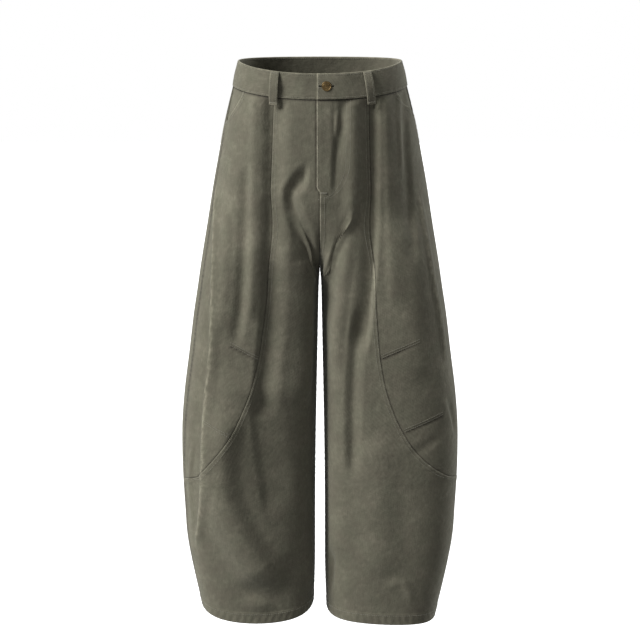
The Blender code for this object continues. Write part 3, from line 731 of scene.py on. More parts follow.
def squareness(half, around, side):
    """The share of a step along a row that is square to a seam line: the cosine of the seam's slant.

    It is evened out over a few rows and kept above a half, so that columns never shift sharply between rows.
    """
    point = base_point(half, around, side, edge_level_of(side))
    run = np.linalg.norm(np.gradient(point, axis=0), axis=-1)
    slant = np.gradient(around) * speed_at(half, around, side) / np.maximum(run, 1e-6)
    square = np.sqrt(np.clip(1 - slant**2, 0.25, 1))
    near = bell(side[:, None] - side, 9)
    return near @ square / near.sum(axis=1)


def seam_distance(half, point, around, side, past):
    """Each point's distance from a seam line, less than 0 where it is past the seam."""
    line = base_point(half, around, side, edge_level_of(side))
    lower = line_gap(point, line)[0]
    return np.where(past, -lower, lower)


def panel_rows(low):
    """Levels of a panel's rows from the waistband down, closer together at the top, crotch and end."""
    top = PANEL_TOP + TOP_TUCK - np.array((0, 1.2, 1.8, 2.2, 2.9, 4.2, 6.5))
    plain = np.arange(top[-1] - STEP, low + EDGE_MARKS[-1] + STEP, -STEP)
    turn = CROTCH_LEVEL + np.array((2.6, 1.3, 0.5, -1.0, -2.5))
    end = low + EDGE_MARKS[::-1]
    rows = np.unique(np.round(np.concatenate([top, plain, turn[turn > low], end]), 2))[::-1]
    return rows[np.concatenate([[True], np.diff(rows) < -0.3])]


def hem_rows():
    """Levels of the rows down to the hem, closer together at the curved seam's end and the stitching."""
    rows = panel_rows(HEM_LEVEL)
    finer = np.concatenate([
        np.arange(PRINCESS_END["right"] + 30, PRINCESS_END["left"] - 6, -1.6),
        HEM_LEVEL + HEM_HEIGHT + np.array((3.0, 1.5, 0.6, -0.4, -1.6, -3.2)),
    ])
    rows = np.unique(np.round(np.concatenate([rows, finer]), 2))[::-1]
    return rows[np.concatenate([[True], np.diff(rows) < -0.3])]


def point_rows(half):
    """Levels of the rows of the outer front, closer together where it runs out to a point."""
    end = PRINCESS_END[half]
    rows = panel_rows(end + 30)
    tip = end + np.array((28, 26, 24, 22, 20, 18, 16, 14, 12, 10, 8.4, 7, 5.8, 4.6, 3.6, 2.7, 1.9, 1.2, 0.6))
    return np.concatenate([rows[rows > end + 29.5], tip])


def row_interpolated(at, places, values):
    """The value at each place of a row, straight between the row's known ones."""
    return np.stack([np.interp(*row) for row in zip(at, places, values)])


def panel_grid(half, left, right, side, left_lap, right_lap, count):
    """Lays a grid between two seams, with marks close to each and an allowance that laps past it.

    Distances are measured along each row of the smooth surface. It gives how far round each point lies, its
    distance from both seams, square to them, and its distance along the row from the row's middle.
    """
    square = [squareness(half, seam, side) for seam in (left, right)]
    laps = [left_lap / square[0], right_lap / square[1]]
    start = left - laps[0] / speed_at(half, left, side)
    end = right + laps[1] / speed_at(half, right, side)
    dense = start[:, None] + (end - start)[:, None] * np.linspace(0, 1, 161)
    levels = np.repeat(side[:, None], 161, axis=1)
    run = np.linalg.norm(np.diff(base_point(half, dense, levels, edge_level_of(levels)), axis=1), axis=-1)
    length = np.concatenate([np.zeros((len(side), 1)), np.cumsum(run, axis=1)], axis=1)
    whole = length[:, -1]
    width = whole - laps[0] - laps[1]
    marks = []
    for share in square:
        fit = np.minimum(1 / share, 0.46 * width / EDGE_MARKS[-1])
        marks.append(EDGE_MARKS[None, :] * fit[:, None])
    turn = np.array((0.0, 0.45, 0.85))
    near = [turn * laps[0][:, None], laps[0][:, None] + marks[0]]
    far = [whole[:, None] - turn * laps[1][:, None], (whole - laps[1])[:, None] - marks[1]]
    between = np.linspace(0, 1, count + 2)[1:-1]
    middle = near[1][:, -1:] + (far[1][:, -1:] - near[1][:, -1:]) * between
    place = np.concatenate([near[0], near[1], middle, far[1][:, ::-1], far[0][:, ::-1]], axis=1)
    around = row_interpolated(place, length, dense)
    levels = np.repeat(side[:, None], around.shape[1], axis=1)
    point = base_point(half, around, levels, edge_level_of(levels))
    from_left = seam_distance(half, point, left, side, place < laps[0][:, None])
    from_right = seam_distance(half, point, right, side, place > (whole - laps[1])[:, None])
    return around, from_left, from_right, place - whole[:, None] / 2


def grid_normal(points):
    """Outward directions of a grid: the cross product of its slopes down and round."""
    normal = np.cross(np.gradient(points, axis=0), np.gradient(points, axis=1))
    return normal / np.maximum(np.linalg.norm(normal, axis=-1, keepdims=True), 1e-9)


def puckers(along, distance, seed):
    """Ripples that a tight seam draws into the cloth: two sine waves of uneven pace, fading away from it."""
    slow = 1.5 * np.sin(2 * np.pi * along / PUCKER_SWAY + seed)
    short, long = (2 * np.pi * along / wave for wave in PUCKER_WAVES)
    waves = 0.6 * np.sin(short + seed + slow) + 0.4 * np.sin(long + 2.1 * seed)
    return PUCKER * waves * bell(distance - 3.5, 6.5)


def raised_by_lap(distance):
    """How far what is turned in beneath an upper edge raises it: in full as far as the lap reaches."""
    return LAP_RISE * (1 - ease((distance - LAP_REACH) / LAP_FADE))


def over_lift(distance):
    """The upper edge of a lapped seam: raised by what lies beneath, rounded off at the very edge."""
    return raised_by_lap(distance) - EDGE_ROUND * ease((0.6 - distance) / 1.2)


def under_lift(distance):
    """The lower edge of a lapped seam: it dips towards the seam and runs on beneath."""
    return -EDGE_ROUND * ease((0.9 - distance) / 0.9) - UNDER_DIP * (1 - ease(distance / 4))


def shell_faces(rows, columns, kept):
    """Quads of a closed wall between two grids.

    Each kept cell gives one on the outer grid and one, turned over, on the inner one, and a rim quad on each
    side where its neighbour isn't kept.
    """
    number = np.arange(rows * columns).reshape(rows, columns)
    below = rows * columns
    corners = (number[:-1, :-1], number[:-1, 1:], number[1:, 1:], number[1:, :-1])
    outer = np.stack(corners, axis=-1)[kept]
    padded = np.pad(kept, 1)
    beside = (padded[:-2, 1:-1], padded[1:-1, 2:], padded[2:, 1:-1], padded[1:-1, :-2])
    faces = [outer, outer[:, ::-1] + below]
    for first, second, neighbour in zip(corners, corners[1:] + corners[:1], beside):
        open_side = kept & ~neighbour
        near, far = first[open_side], second[open_side]
        faces.append(np.stack([far, near, near + below, far + below], axis=-1))
    return np.concatenate(faces)


def add_mesh(name, points, faces, material, smooth_angle=None):
    """A named object from points in millimetres and lists of faces. Edges past the angle stay sharp."""
    mesh = bpy.data.meshes.new(name)
    mesh.from_pydata(np.asarray(points) * 0.001, [], faces)
    mesh.shade_smooth()
    if smooth_angle:
        mesh.set_sharp_from_angle(angle=math.radians(smooth_angle))
    mesh.materials.append(material)
    made = bpy.data.objects.new(name, mesh)
    bpy.context.scene.collection.objects.link(made)
    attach(made, "root")
    return made


def cloth_shell(name, replaced, outer, inner, uv, wear_and_highlight, painted_shade, material, kept=None):
    """A closed wall of cloth from two grids, and its outer face's area.

    It has its own map in metres and, as two attributes, how pale each point is from wash wear and painted
    highlight, and how dark from painted shade.
    """
    rows, columns = outer.shape[:2]
    kept = np.ones((rows - 1, columns - 1), bool) if kept is None else kept
    faces = shell_faces(rows, columns, kept)
    across, down = np.gradient(outer, axis=1), np.gradient(outer, axis=0)
    if np.sum(np.cross(across, down) * (outer - inner)) < 0:
        faces = faces[:, ::-1]
    points = np.concatenate([outer.reshape(-1, 3), inner.reshape(-1, 3)])
    used, faces = np.unique(faces, return_inverse=True)
    faces = faces.reshape(-1, 4)
    made = add_mesh(name, points[used], faces.tolist(), material, CLOTH_ANGLE)
    for attribute, value in (("wear_and_highlight", wear_and_highlight), ("painted_shade", painted_shade)):
        layer = made.data.attributes.new(attribute, "FLOAT", "POINT")
        layer.data.foreach_set("value", np.tile(np.broadcast_to(value, (rows, columns)).ravel(), 2)[used])
    both = np.tile(uv.reshape(-1, 2), (2, 1))[used] * 0.001
    made.data.uv_layers.new(name="cut").data.foreach_set("uv", both[faces.ravel()].ravel())
    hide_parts(replaced)
    area = np.linalg.norm(np.cross(across, down), axis=-1)[:-1, :-1][kept].sum() * 1e-6
    return made, area


def declare_sheet(made, area, width, length, held, with_pieces=()):
    """Says what flat piece the cloth was cut as: its width, length and area, in metres.

    The rounded edges of a strip add to its measured area, which stays below its width times its length.
    """
    width, length = round(width / 1000, 4), round(length / 1000, 4)
    area = round(min(area, 0.999 * width * length), 6)
    print(f"cut {made.name}: {width} x {length} m, {area} m2")


def plain_side_seam(name, half, level):
    """The share, from 0 to 1, by which a panel ends in the plain side seam and not in an edge of its own."""
    ends = {"side": POCKET_LOW, "front": PRINCESS_END}.get(name.split("_")[0])
    return ease((ends[half] - level) / 12) if ends else 0 * level


def panel_shades(name, half, level, smooth, down, gaps, overs):
    """How pale each point of a panel is painted, and how dark: the largest of several bells.

    Upper edges, the hem's fold and the sharp crease are paler, as wash wear and a painted highlight. Painted
    shade darkens lower edges, the cloth under the waistband, the crease's foot, the cloth drawn in before the
    side seam and, on the wearer's right, the cloth beside the fly.
    """
    from_left, from_right = gaps
    left_over, right_over = overs
    plain = plain_side_seam(name, half, level)
    left_wear_and_highlight, right_wear_and_highlight = EDGE_WEAR_AND_HIGHLIGHT.get(name, PLAIN_WEAR_AND_HIGHLIGHT)
    crest, foot = crease_wear_highlight_and_shade(half, smooth)
    wear_and_highlight = [
        left_wear_and_highlight * left_over * bell(from_left - 0.4, 1.3),
        right_wear_and_highlight * (1 - plain) * right_over * bell(from_right - 0.4, 1.3),
        0.5 * bell(level - HEM_LEVEL, 2.2),
        crest,
    ]
    shade_at = SEAM_SHADE[half]
    drawn = 0.75 + 0.25 * np.sin(2 * np.pi * down / PUCKER_WAVES[0])
    painted_shade = [
        (1 - left_over) * bell(from_left, 1.7),
        (1 - right_over) * bell(from_right, 1.7),
        bell(PANEL_TOP - level, 2.0),
        foot,
        0.9 * plain * drawn * bell(from_right - shade_at, 0.8 * shade_at),
    ]
    # Painted shade beside the fly, where the left front laps over the right.
    if name == "front_right":
        painted_shade.append(ease((level - FLY_END) / 10) * bell(smooth[..., 0] + LAP_EDGE - 1.6, 2.8))
    return np.max(wear_and_highlight, axis=0), np.max(painted_shade, axis=0)


def build_panel(name, half, left, right, side, left_over, right_over, material, laps=None, sunk=0.0):
    """A panel of cloth between two seams, with its width and length when flat.

    left_over and right_over say, for each row, whether that edge lies over its neighbour, 1, or beneath it, 0.
    """
    laps = laps or [SEAM_TURN + (SEAM_LAP - SEAM_TURN) * (1 - over) for over in (left_over, right_over)]
    widest = np.max((right - left) * speed_at(half, (left + right) / 2, side))
    count = int(max(widest - 2 * EDGE_MARKS[-1], 8) / STEP)
    around, from_left, from_right, across = panel_grid(half, left, right, side, *laps, count)
    level = np.repeat(side[:, None], around.shape[1], axis=1)
    edge_level = edge_level_of(level)
    folded = folded_point(half, around, level, edge_level)
    normal = grid_normal(folded)
    middle = folded[:, folded.shape[1] // 2]
    down = np.concatenate([[0], np.cumsum(np.linalg.norm(np.diff(middle, axis=0), axis=-1))])[:, None]
    overs = left_over[:, None], right_over[:, None]
    ride = lap_lift(half, around, level) - sunk
    lift, raised = ride, 0 * around
    for distance, over, seed in zip((from_left, from_right), overs, (1.0, 2.3)):
        lift = lift + over * over_lift(distance) + (1 - over) * under_lift(distance)
        lift = lift + puckers(down, distance, seed)
        raised = raised + over * raised_by_lap(distance)
    from_hem = level - HEM_LEVEL
    in_hem = 1 - ease((from_hem - HEM_HEIGHT) / 1.5)
    twist = np.sin(2 * np.pi * (across / ROPE_PITCH + from_hem / ROPE_SLANT))
    rope = ROPE_RISE * twist * bell(from_hem - HEM_HEIGHT / 2, 9)
    lift = lift + in_hem * (HEM_RISE + rope) - ease(1.0 - from_hem)
    lift = lift - TOP_DIP * ease(level - PANEL_TOP + 0.4)
    inner_lift = np.minimum(lift, raised + ride + 0.4) - (CLOTH + HEM_THICKER * in_hem)
    outer = keep_side(folded + normal * lift[..., None], around)
    inner = keep_side(folded + normal * inner_lift[..., None], around)
    smooth = base_point(half, around, level, edge_level)
    # How pale each point is from wash wear and painted highlight, and how dark from painted shade.
    wear_and_highlight, painted_shade = panel_shades(name, half, level, smooth, down, (from_left, from_right), overs)
    if name.startswith("side"):
        near = np.min([line_gap(folded, line)[0] for line in DART_LINES[half]], axis=0)
        # Painted shade along each knee dart's groove.
        painted_shade = np.maximum(painted_shade, DART_SHADE * bell(near, DART_WIDTH))
        groove = DART_GROOVE * bell(near, DART_WIDTH) + 0.3 * puckers(down + across, near, 4.0)
        outer = outer - normal * groove[..., None]
    uv = np.stack([across, -down + 0 * across], axis=-1)
    outer, inner = mirrored(outer, half), mirrored(inner, half)
    made, area = cloth_shell("cloth_" + name, name, outer, inner, uv, wear_and_highlight, painted_shade, material)
    return made, area, float(np.max(np.ptp(across, axis=1))), float(down[-1, 0])


def middle_over(half, side, at):
    """Whether a panel's middle edge lies over its neighbour: the wearer's left does above the crotch.

    Below it the fronts lie over the backs.
    """
    above = ease((side - CROTCH_LEVEL + 10) / 20)
    hips = 1.0 if half == "left" else 0.0
    legs = 1.0 if at == "front" else 0.0
    return hips * above + legs * (1 - above)


def middle_edge(half, side):
    """The centre-front edge: at the fly the left front reaches past the middle."""
    over = ease((side - FLY_END) / 10)
    return (LAP_EDGE if half == "left" else 0.0) * over / half_round(side)


def build_front(half, material):
    """The inner front: from the centre to the curved seam, then over to the side seam below the knee."""
    side = hem_rows()
    ones = np.ones(len(side))
    over = middle_over(half, side, "front")
    beneath = SEAM_LAP + (LAP_UNDER - SEAM_LAP) * ease((side - FLY_END) / 10)
    laps = [SEAM_TURN + (beneath - SEAM_TURN) * (1 - over), SEAM_TURN * ones]
    left, right = middle_edge(half, side), front_seam_around(half, side)
    return build_panel("front_" + half, half, left, right, side, over, ones, material, laps)


def build_side(half, material):
    """The outer front: from the curved seam to the side seam, cut away at the pocket."""
    side = point_rows(half)
    ones = np.ones(len(side))
    left = princess_around(half, side)
    right = np.where(side > POCKET_LOW[half], pocket_around(half, side), side_around(half, side))
    return build_panel("side_" + half, half, left, right, side, 0 * ones, ones, material)


def build_facing(half, material):
    """What shows in the pocket mouth: a strip under the outer front that ends at the side seam."""
    side = panel_rows(POCKET_LOW[half] - FACING_ALLOWANCE)
    ones = np.ones(len(side))
    left, right = pocket_around(half, side) - FACING_UNDER / half_round(side), side_around(half, side)
    name = "pocket_facing_" + half
    return build_panel(name, half, left, right, side, ones, ones, material, sunk=FACING_SUNK)


def build_back(half, material):
    """The back: from the side seam to the centre back, then the inseam."""
    side = hem_rows()
    ones = np.ones(len(side))
    left, over = side_around(half, side), middle_over(half, side, "back")
    return build_panel("back_" + half, half, left, ones, side, 0 * ones, over, material)


def ring_point(along, level):
    """A point of the waist at a distance round it from the centre front, towards the wearer's left."""
    whole = 2 * half_round(level)
    turn = np.mod(along / whole, 1.0) * 2
    left = base_point("left", np.minimum(turn, 1), level, level)
    right = mirrored(base_point("right", np.minimum(2 - turn, 1), level, level), "right")
    return np.where((turn <= 1)[..., None], left, right)


def ring_outward(along, level):
    """The outward direction of the waist: the cross product of short steps round it and down it."""
    round_way = ring_point(along + 1.5, level) - ring_point(along - 1.5, level)
    down = ring_point(along, level - 0.8) - ring_point(along, level + 0.8)
    normal = np.cross(round_way, down)
    return -unit(normal)


def band_lift(along):
    """How far the waistband's outer end rides up over the end beneath it."""
    return BAND_LAP_LIFT * (1 - ease((along - BAND_UNDER - 1) / (BAND_LAP_FADES_AT - BAND_UNDER - 1)))


def band_columns():
    """Where the waistband's columns lie, as shares of the way round and offsets, and which span the hole.

    The outer end and the buttonhole are at offsets from the middle, the plain stretch at even shares, and the
    end beneath at offsets from one whole turn.
    """
    hole_long = BUTTONHOLE[0]
    end = LAP_EDGE + np.array((0.0, 0.4, 0.9))
    hole = BUTTON_PLACE[0] - hole_long / 2 + np.linspace(0, hole_long, 8)
    first = np.concatenate([end, hole, np.arange(hole[-1] + 3, BAND_LAP_FADES_AT, 3.0)])
    last = np.concatenate([
        [LAP_EDGE - 4, LAP_EDGE + 1], np.arange(6, BAND_UNDER, 5.0), [BAND_UNDER - 0.6, BAND_UNDER],
    ])
    share = np.concatenate([0 * first, np.linspace(*BAND_PLAIN, BAND_COLUMNS), np.ones(len(last))])
    offset = np.concatenate([first, np.zeros(BAND_COLUMNS), last])
    return share, offset, slice(len(end), len(end) + len(hole) - 1)


def band_levels():
    """Levels of the waistband's rows, closer together at its edges, and the number of the buttonhole's row."""
    half_high = BUTTONHOLE[1] / 2
    middle = BUTTON_PLACE[1] + FRONT_DROP
    drop = np.array((0.0, 0.5, 1.3, 2.6, 4.2, 6.2, 9.0, 12.0, 15.0))
    high = RIM_HEIGHT - drop[RIM_HEIGHT - drop > middle + half_high + 0.8]
    low = BAND_LOW + np.array((18.0, 14.5, 11.0, 8.0, 5.6, 3.8, 2.4, 1.2, 0.5, 0.0))
    levels = np.unique(np.concatenate([high, [middle + half_high, middle - half_high], low]))[::-1]
    return levels, int(np.argmin(np.abs(levels - middle - half_high)))


def build_waistband(material):
    """One doubled strip right round the waist, with its outer end over the other and a buttonhole in it."""
    share, offset, hole_columns = band_columns()
    levels, hole_row = band_levels()
    shares, level = np.meshgrid(share, levels)
    along = shares * 2 * half_round(level) + offset
    point, normal = ring_point(along, level), ring_outward(along, level)
    from_top, from_low = RIM_HEIGHT - level, level - BAND_LOW
    outer_end = shares == 0
    rim = RIM_ROUND * ease((RIM_ROUND - from_top) / RIM_ROUND)
    edge = rim + LOW_ROUND * ease((LOW_ROUND - from_low) / LOW_ROUND)
    ends = 0.8 * ease((0.7 - (along - LAP_EDGE)) / 0.7) * outer_end
    groove = 0.3 * (bell(from_top - BAND_ROW, 1.0) + bell(from_low - BAND_ROW, 1.0))
    ripple = puckers(along, from_top, 0.7) + puckers(along, from_low, 3.1)
    uneven = np.sin(2 * np.pi * along / 83 + 2.2 * np.sin(along / 37))
    crumple = CRUMPLE * uneven * np.sin(np.pi * from_top / BAND_HEIGHT)
    surface = BAND_PROUD + band_lift(along)
    outer = point + normal * (surface - edge - ends - groove + ripple + crumple)[..., None]
    inner = point + normal * (surface - BAND_WALL + edge + 0.4 * groove + crumple)[..., None]
    kept = np.ones((len(levels) - 1, len(offset) - 1), bool)
    kept[hole_row, hole_columns] = False
    # The rim, the lower edge and the outer end are paler, as wash wear and painted highlight.
    edges = [bell(from_top, 1.5), 0.7 * bell(from_low, 1.2), bell(along - LAP_EDGE, 1.6) * outer_end]
    wear_and_highlight = np.max(edges, axis=0)
    uv = np.stack([level, along], axis=-1)
    made, area = cloth_shell("cloth_waistband", "waistband", outer, inner, uv, wear_and_highlight, 0 * wear_and_highlight, material, kept)
    return made, area, float(along.max() - along.min()), BAND_HEIGHT


def loop_surface(row, part, across):
    """Points and outward directions of a belt loop's inner face: from the rim down, bowed out by a sine."""
    top, low = RIM_HEIGHT - 1.0, PANEL_TOP - LOOP_BELOW_BAND
    level = top + (low - top) * part
    centre = row["share"] * 2 * half_round(level) + row["top"] + (row["low"] - row["top"]) * part
    bow = LOOP_BOW * np.sin(np.pi * np.clip(part / 0.92, 0, 1)) ** 0.8
    normal = ring_outward(centre + across, level)
    seat = BAND_PROUD + 0.3 + band_lift(centre)
    return ring_point(centre + across, level) + normal * (seat + bow)[..., None], normal


def build_loop(row, material):
    """A belt loop: a folded strip with rounded edges and a sunk channel at each row of stitches."""
    marks = np.array((0.0, 0.4, 1.0, 1.8, 2.6, 3.4, 4.6))
    across = LOOP_WIDTH / 2 - np.concatenate([marks, [LOOP_WIDTH / 2], LOOP_WIDTH - marks[::-1]])
    part, across = np.meshgrid(np.linspace(0, 1, 41), across[::-1], indexing="ij")
    face, normal = loop_surface(row, part, across)
    from_side = LOOP_WIDTH / 2 - np.abs(across)
    roll = 0.7 * ease((0.9 - from_side) / 0.9)
    groove = 0.25 * bell(from_side - LOOP_ROW, 0.7)
    ends = 0.6 * (1 - ease(part / 0.03)) + 0.6 * (1 - ease((1 - part) / 0.03))
    outer = face + normal * (LOOP_WALL - roll - groove - ends)[..., None]
    inner = face + normal * (0.2 * roll)[..., None]
    uv = np.stack([across, -part * (BAND_HEIGHT + LOOP_BELOW_BAND)], axis=-1)
    # The loop's sides and lower end are paler, as wash wear and painted highlight.
    wear_and_highlight = np.maximum(bell(from_side, 1.1), bell((1 - part) * 60, 1.5))
    made, area = cloth_shell("cloth_" + row["name"], row["name"], outer, inner, uv, wear_and_highlight, 0 * wear_and_highlight, material)
    return made, area, LOOP_WIDTH, float(np.linalg.norm(np.diff(face[:, 7], axis=0), axis=-1).sum())


def stitch_shape():
    """A stitch as rings of points: thick in the middle, thin and sunk where its ends enter the cloth."""
    along = np.array((-0.5, -0.36, 0.36, 0.5)) * STITCH_LENGTH
    thick = (np.array((0.35, 1.0, 1.0, 0.35)) * THREAD / 2)[:, None]
    high = (np.array((-0.35, 0.12, 0.12, -0.35)) * THREAD)[:, None]
    turn = np.linspace(0, 2 * np.pi, 5, endpoint=False)
    ring = np.stack([along[:, None] + 0 * turn, thick * np.cos(turn), high + thick * np.sin(turn)], axis=-1)
    number = np.arange(20).reshape(4, 5)
    after = np.roll(number, -1, axis=1)
    sides = np.stack([number[:-1], after[:-1], after[1:], number[1:]], axis=-1).reshape(-1, 4)
    return ring.reshape(-1, 3), sides


def spaced(points, normals, pitch):
    """Places at an even pitch along a line, with the way it runs and its outward direction there."""
    length = np.concatenate([[0], np.cumsum(np.linalg.norm(np.diff(points, axis=0), axis=-1))])
    at = np.arange(pitch / 2, length[-1], pitch)
    slopes = np.gradient(points, length, axis=0)
    place, way, up = (np.stack([np.interp(at, length, values[:, axis]) for axis in range(3)], axis=-1)
                      for values in (points, slopes, normals))
    way = unit(way)
    up = up - np.sum(up * way, axis=-1, keepdims=True) * way
    return place, way, unit(up)


def sew(name, paths, material, pitch=STITCH_PITCH):
    """Rows of stitches as one mesh: the stitch's shape set down along each path."""
    shape, sides = stitch_shape()
    points = []
    for line, normals in paths:
        place, way, up = spaced(line, normals, pitch)
        beside = np.cross(up, way)
        axes = np.stack([way, beside, up], axis=1)
        points.append((place[:, None] + shape @ axes).reshape(-1, 3))
    points = np.concatenate(points)
    count = len(points) // len(shape)
    faces = (np.arange(count)[:, None, None] * len(shape) + sides).reshape(-1, 4)
    ends = np.array([[4, 3, 2, 1, 0], [15, 16, 17, 18, 19]])
    caps = (np.arange(count)[:, None, None] * len(shape) + ends).reshape(-1, 5)
    made = add_mesh(name, points, faces.tolist() + caps.tolist(), material)
    return made


def seam_row(half, around, side, offset, height):
    """A line beside a seam, offset round the surface from it, at a height over the folded cloth."""
    shifted = around + offset / (speed_at(half, around, side) * squareness(half, around, side))
    edge = edge_level_of(side)
    normal = outward(folded_point, half, shifted, side, edge)
    lift = lap_lift(half, shifted, side) + height
    point = folded_point(half, shifted, side, edge) + normal * np.broadcast_to(lift, side.shape)[:, None]
    return mirrored(point, half), mirrored(normal, half)


def fly_rows():
    """The fly's stitching, on the wearer's left: its edge, the seam below it, and two curved rows.

    The curved rows run straight down, then bend in to the middle along a quarter of an ellipse.
    """
    edge = np.arange(PANEL_TOP - 2, FLY_END + 6, -LINE_STEP)
    paths = [seam_row("left", middle_edge("left", edge), edge, FLY_EDGE_ROW, ON_LAP)]
    lower = np.arange(FLY_END - 6, CROTCH_LEVEL + 14, -LINE_STEP)
    paths += [seam_row("left", 0 * lower, lower, offset, ON_LAP) for offset in CROTCH_ROWS]
    part = np.linspace(0, 1, 60)
    bend = np.clip((part - FLY_STRAIGHT) / (1 - FLY_STRAIGHT), 0, 1)
    across = FLY_WIDTH - (FLY_WIDTH - FLY_FOOT) * (1 - np.sqrt(1 - bend**2))
    level = PANEL_TOP - 2 + (FLY_END - PANEL_TOP - 8) * part
    paths += [seam_row("left", (across - gap) / half_round(level), level, 0.0, -0.15) for gap in FLY_GAPS]
    return paths


def stitch_front(half, material):
    """Topstitching of a front: beside the curved seam and, on the wearer's left, down the middle."""
    rows = np.arange(PANEL_TOP - 2, PRINCESS_END[half] + 2, -LINE_STEP)
    seam = princess_around(half, rows)
    paths = [seam_row(half, seam, rows, -offset, ON_LAP) for offset in CURVED_SEAM_ROWS]
    if half == "left":
        paths += fly_rows()
    return sew("stitching_front_" + half, paths, material)


def stitch_hem(half, material):
    """The hem's row of stitches, right round the leg."""
    around = np.linspace(0.004, 0.996, 260)
    level = np.full(len(around), HEM_LEVEL + HEM_HEIGHT - HEM_ROW)
    edge = edge_level_of(level)
    normal = outward(folded_point, half, around, level, edge)
    point = folded_point(half, around, level, edge) + normal * 0.45
    return sew("stitching_hem_" + half, [(mirrored(point, half), mirrored(normal, half))], material)


def stitch_side(half, material):
    """Two rows beside the pocket edge and two above each knee dart."""
    rows = np.arange(PANEL_TOP - 1, POCKET_LOW[half] + 1, -2.0)
    seam = pocket_around(half, rows)
    paths = [seam_row(half, seam, rows, -offset, ON_LAP) for offset in POCKET_ROWS]
    for dart_half, inner_end, outer_end in KNEE_DARTS:
        if dart_half == half:
            around, level = dart_line(half, inner_end, outer_end)
            for rise in DART_ROWS:
                lifted = level + rise
                normal = outward(folded_point, half, around, lifted, lifted)
                point = folded_point(half, around, lifted, lifted) + normal * 0.15
                paths.append((mirrored(point, half), mirrored(normal, half)))
    return sew("stitching_side_" + half, paths, material)


def stitch_back(material):
    """Two rows down the centre back, on the wearer's-left side of it."""
    rows = np.arange(PANEL_TOP - 2, CROTCH_LEVEL + 14, -LINE_STEP)
    paths = [seam_row("left", 1 + 0 * rows, rows, -offset, ON_LAP) for offset in CENTRE_BACK_ROWS]
    return sew("stitching_back", paths, material)


def stitch_waistband(material):
    """Rows near the top and bottom of the waistband, outside and inside, and one across its outer end."""
    paths = []
    for level in (RIM_HEIGHT - BAND_ROW, BAND_LOW + BAND_ROW):
        whole = 2 * float(half_round(level))
        along = np.arange(LAP_EDGE + 2.5, whole + LAP_EDGE - 1.5, LINE_STEP)
        levels = np.full(len(along), level)
        normal = ring_outward(along, levels)
        surface = BAND_PROUD + band_lift(along)
        point = ring_point(along, levels)
        paths.append((point + normal * (surface - 0.15)[:, None], normal))
        paths.append((point + normal * (surface - BAND_WALL + 0.1)[:, None], -normal))
    end = np.arange(PANEL_TOP + 4, RIM_HEIGHT - 3, 1.5)
    along = np.full(len(end), LAP_EDGE + 2.0)
    normal = ring_outward(along, end)
    paths.append((ring_point(along, end) + normal * (BAND_PROUD + BAND_LAP_LIFT - 0.1), normal))
    return sew("stitching_waistband", paths, material)


def stitch_loops(material):
    """Two rows down each belt loop and a bar of close stitches across each of its ends."""
    paths, bars = [], []
    for row in LOOP_ROWS:
        for side in (-1, 1):
            part = np.linspace(0.02, 0.98, 40)
            across = np.full(len(part), side * (LOOP_WIDTH / 2 - LOOP_ROW))
            face, normal = loop_surface(row, part, across)
            paths.append((face + normal * (LOOP_WALL - 0.15), normal))
        for part in (0.045, 0.06, 0.93, 0.945):
            across = np.linspace(-LOOP_WIDTH / 2 + 1.2, LOOP_WIDTH / 2 - 1.2, 12)
            face, normal = loop_surface(row, np.full(12, part), across)
            bars.append((face + normal * (LOOP_WALL - 0.1), normal))
    return [sew("stitching_loops", paths, material), sew("bartacks_loops", bars, material, BAR_PITCH)]


def stitch_bartacks(material):
    """Short bars of close stitches at the foot of the fly and at both ends of each pocket mouth."""
    paths = []
    for gap in (0.0, 1.0, 2.0):
        across = np.linspace(1.0, 9.0, 8)
        level = FLY_END + 1 - gap + 0 * across
        paths.append(seam_row("left", across / half_round(level), level, 0.0, LAP_RISE + 0.2))
    for half in ("right", "left"):
        for start in (PANEL_TOP - 2, POCKET_LOW[half] + 9):
            level = start - np.linspace(0, 7, 8)
            seam = pocket_around(half, level)
            paths += [seam_row(half, seam, level, -offset, LAP_RISE + 0.1) for offset in (3.6, 4.6)]
    return sew("bartacks", paths, material, BAR_PITCH)


def buttonhole_thread(material):
    """Close stitches set square to the edge all round the buttonhole.

    Their places are on a stretched circle cut off flat at the sides and ends. Each runs along the outline's
    outward direction: its place from the middle, divided by the squared half sizes.
    """
    long, high = BUTTONHOLE
    turn = np.linspace(0, 2 * np.pi, 90, endpoint=False)
    wide, tall = long / 2 + 0.3, high / 2 + 0.4
    middle = np.array((BUTTON_PLACE[0], BUTTON_PLACE[1] + FRONT_DROP))
    along = middle[0] + np.clip(wide * 1.15 * np.cos(turn), -wide, wide)
    level = middle[1] + np.clip(tall * 2.6 * np.sin(turn), -tall, tall)
    normal = ring_outward(along, level)
    height = BAND_PROUD + BAND_LAP_LIFT + 0.05
    centre = ring_point(along, level) + normal * height
    away = unit((np.stack([along, level], axis=-1) - middle) / np.array((wide * wide, tall * tall)))
    way = ring_point(along + away[:, 0], level + away[:, 1]) + normal * height - centre
    way = unit(way - np.sum(way * normal, axis=-1, keepdims=True) * normal)
    shape, sides = stitch_shape()
    shape = shape * np.array((0.62, 0.8, 0.8))
    axes = np.stack([way, np.cross(normal, way), normal], axis=1)
    points = ((centre + way * 0.4)[:, None] + shape @ axes).reshape(-1, 3)
    faces = (np.arange(len(turn))[:, None, None] * len(shape) + sides).reshape(-1, 4)
    made = add_mesh("buttonhole_thread", points, faces.tolist(), material, CLOTH_ANGLE)
    return made


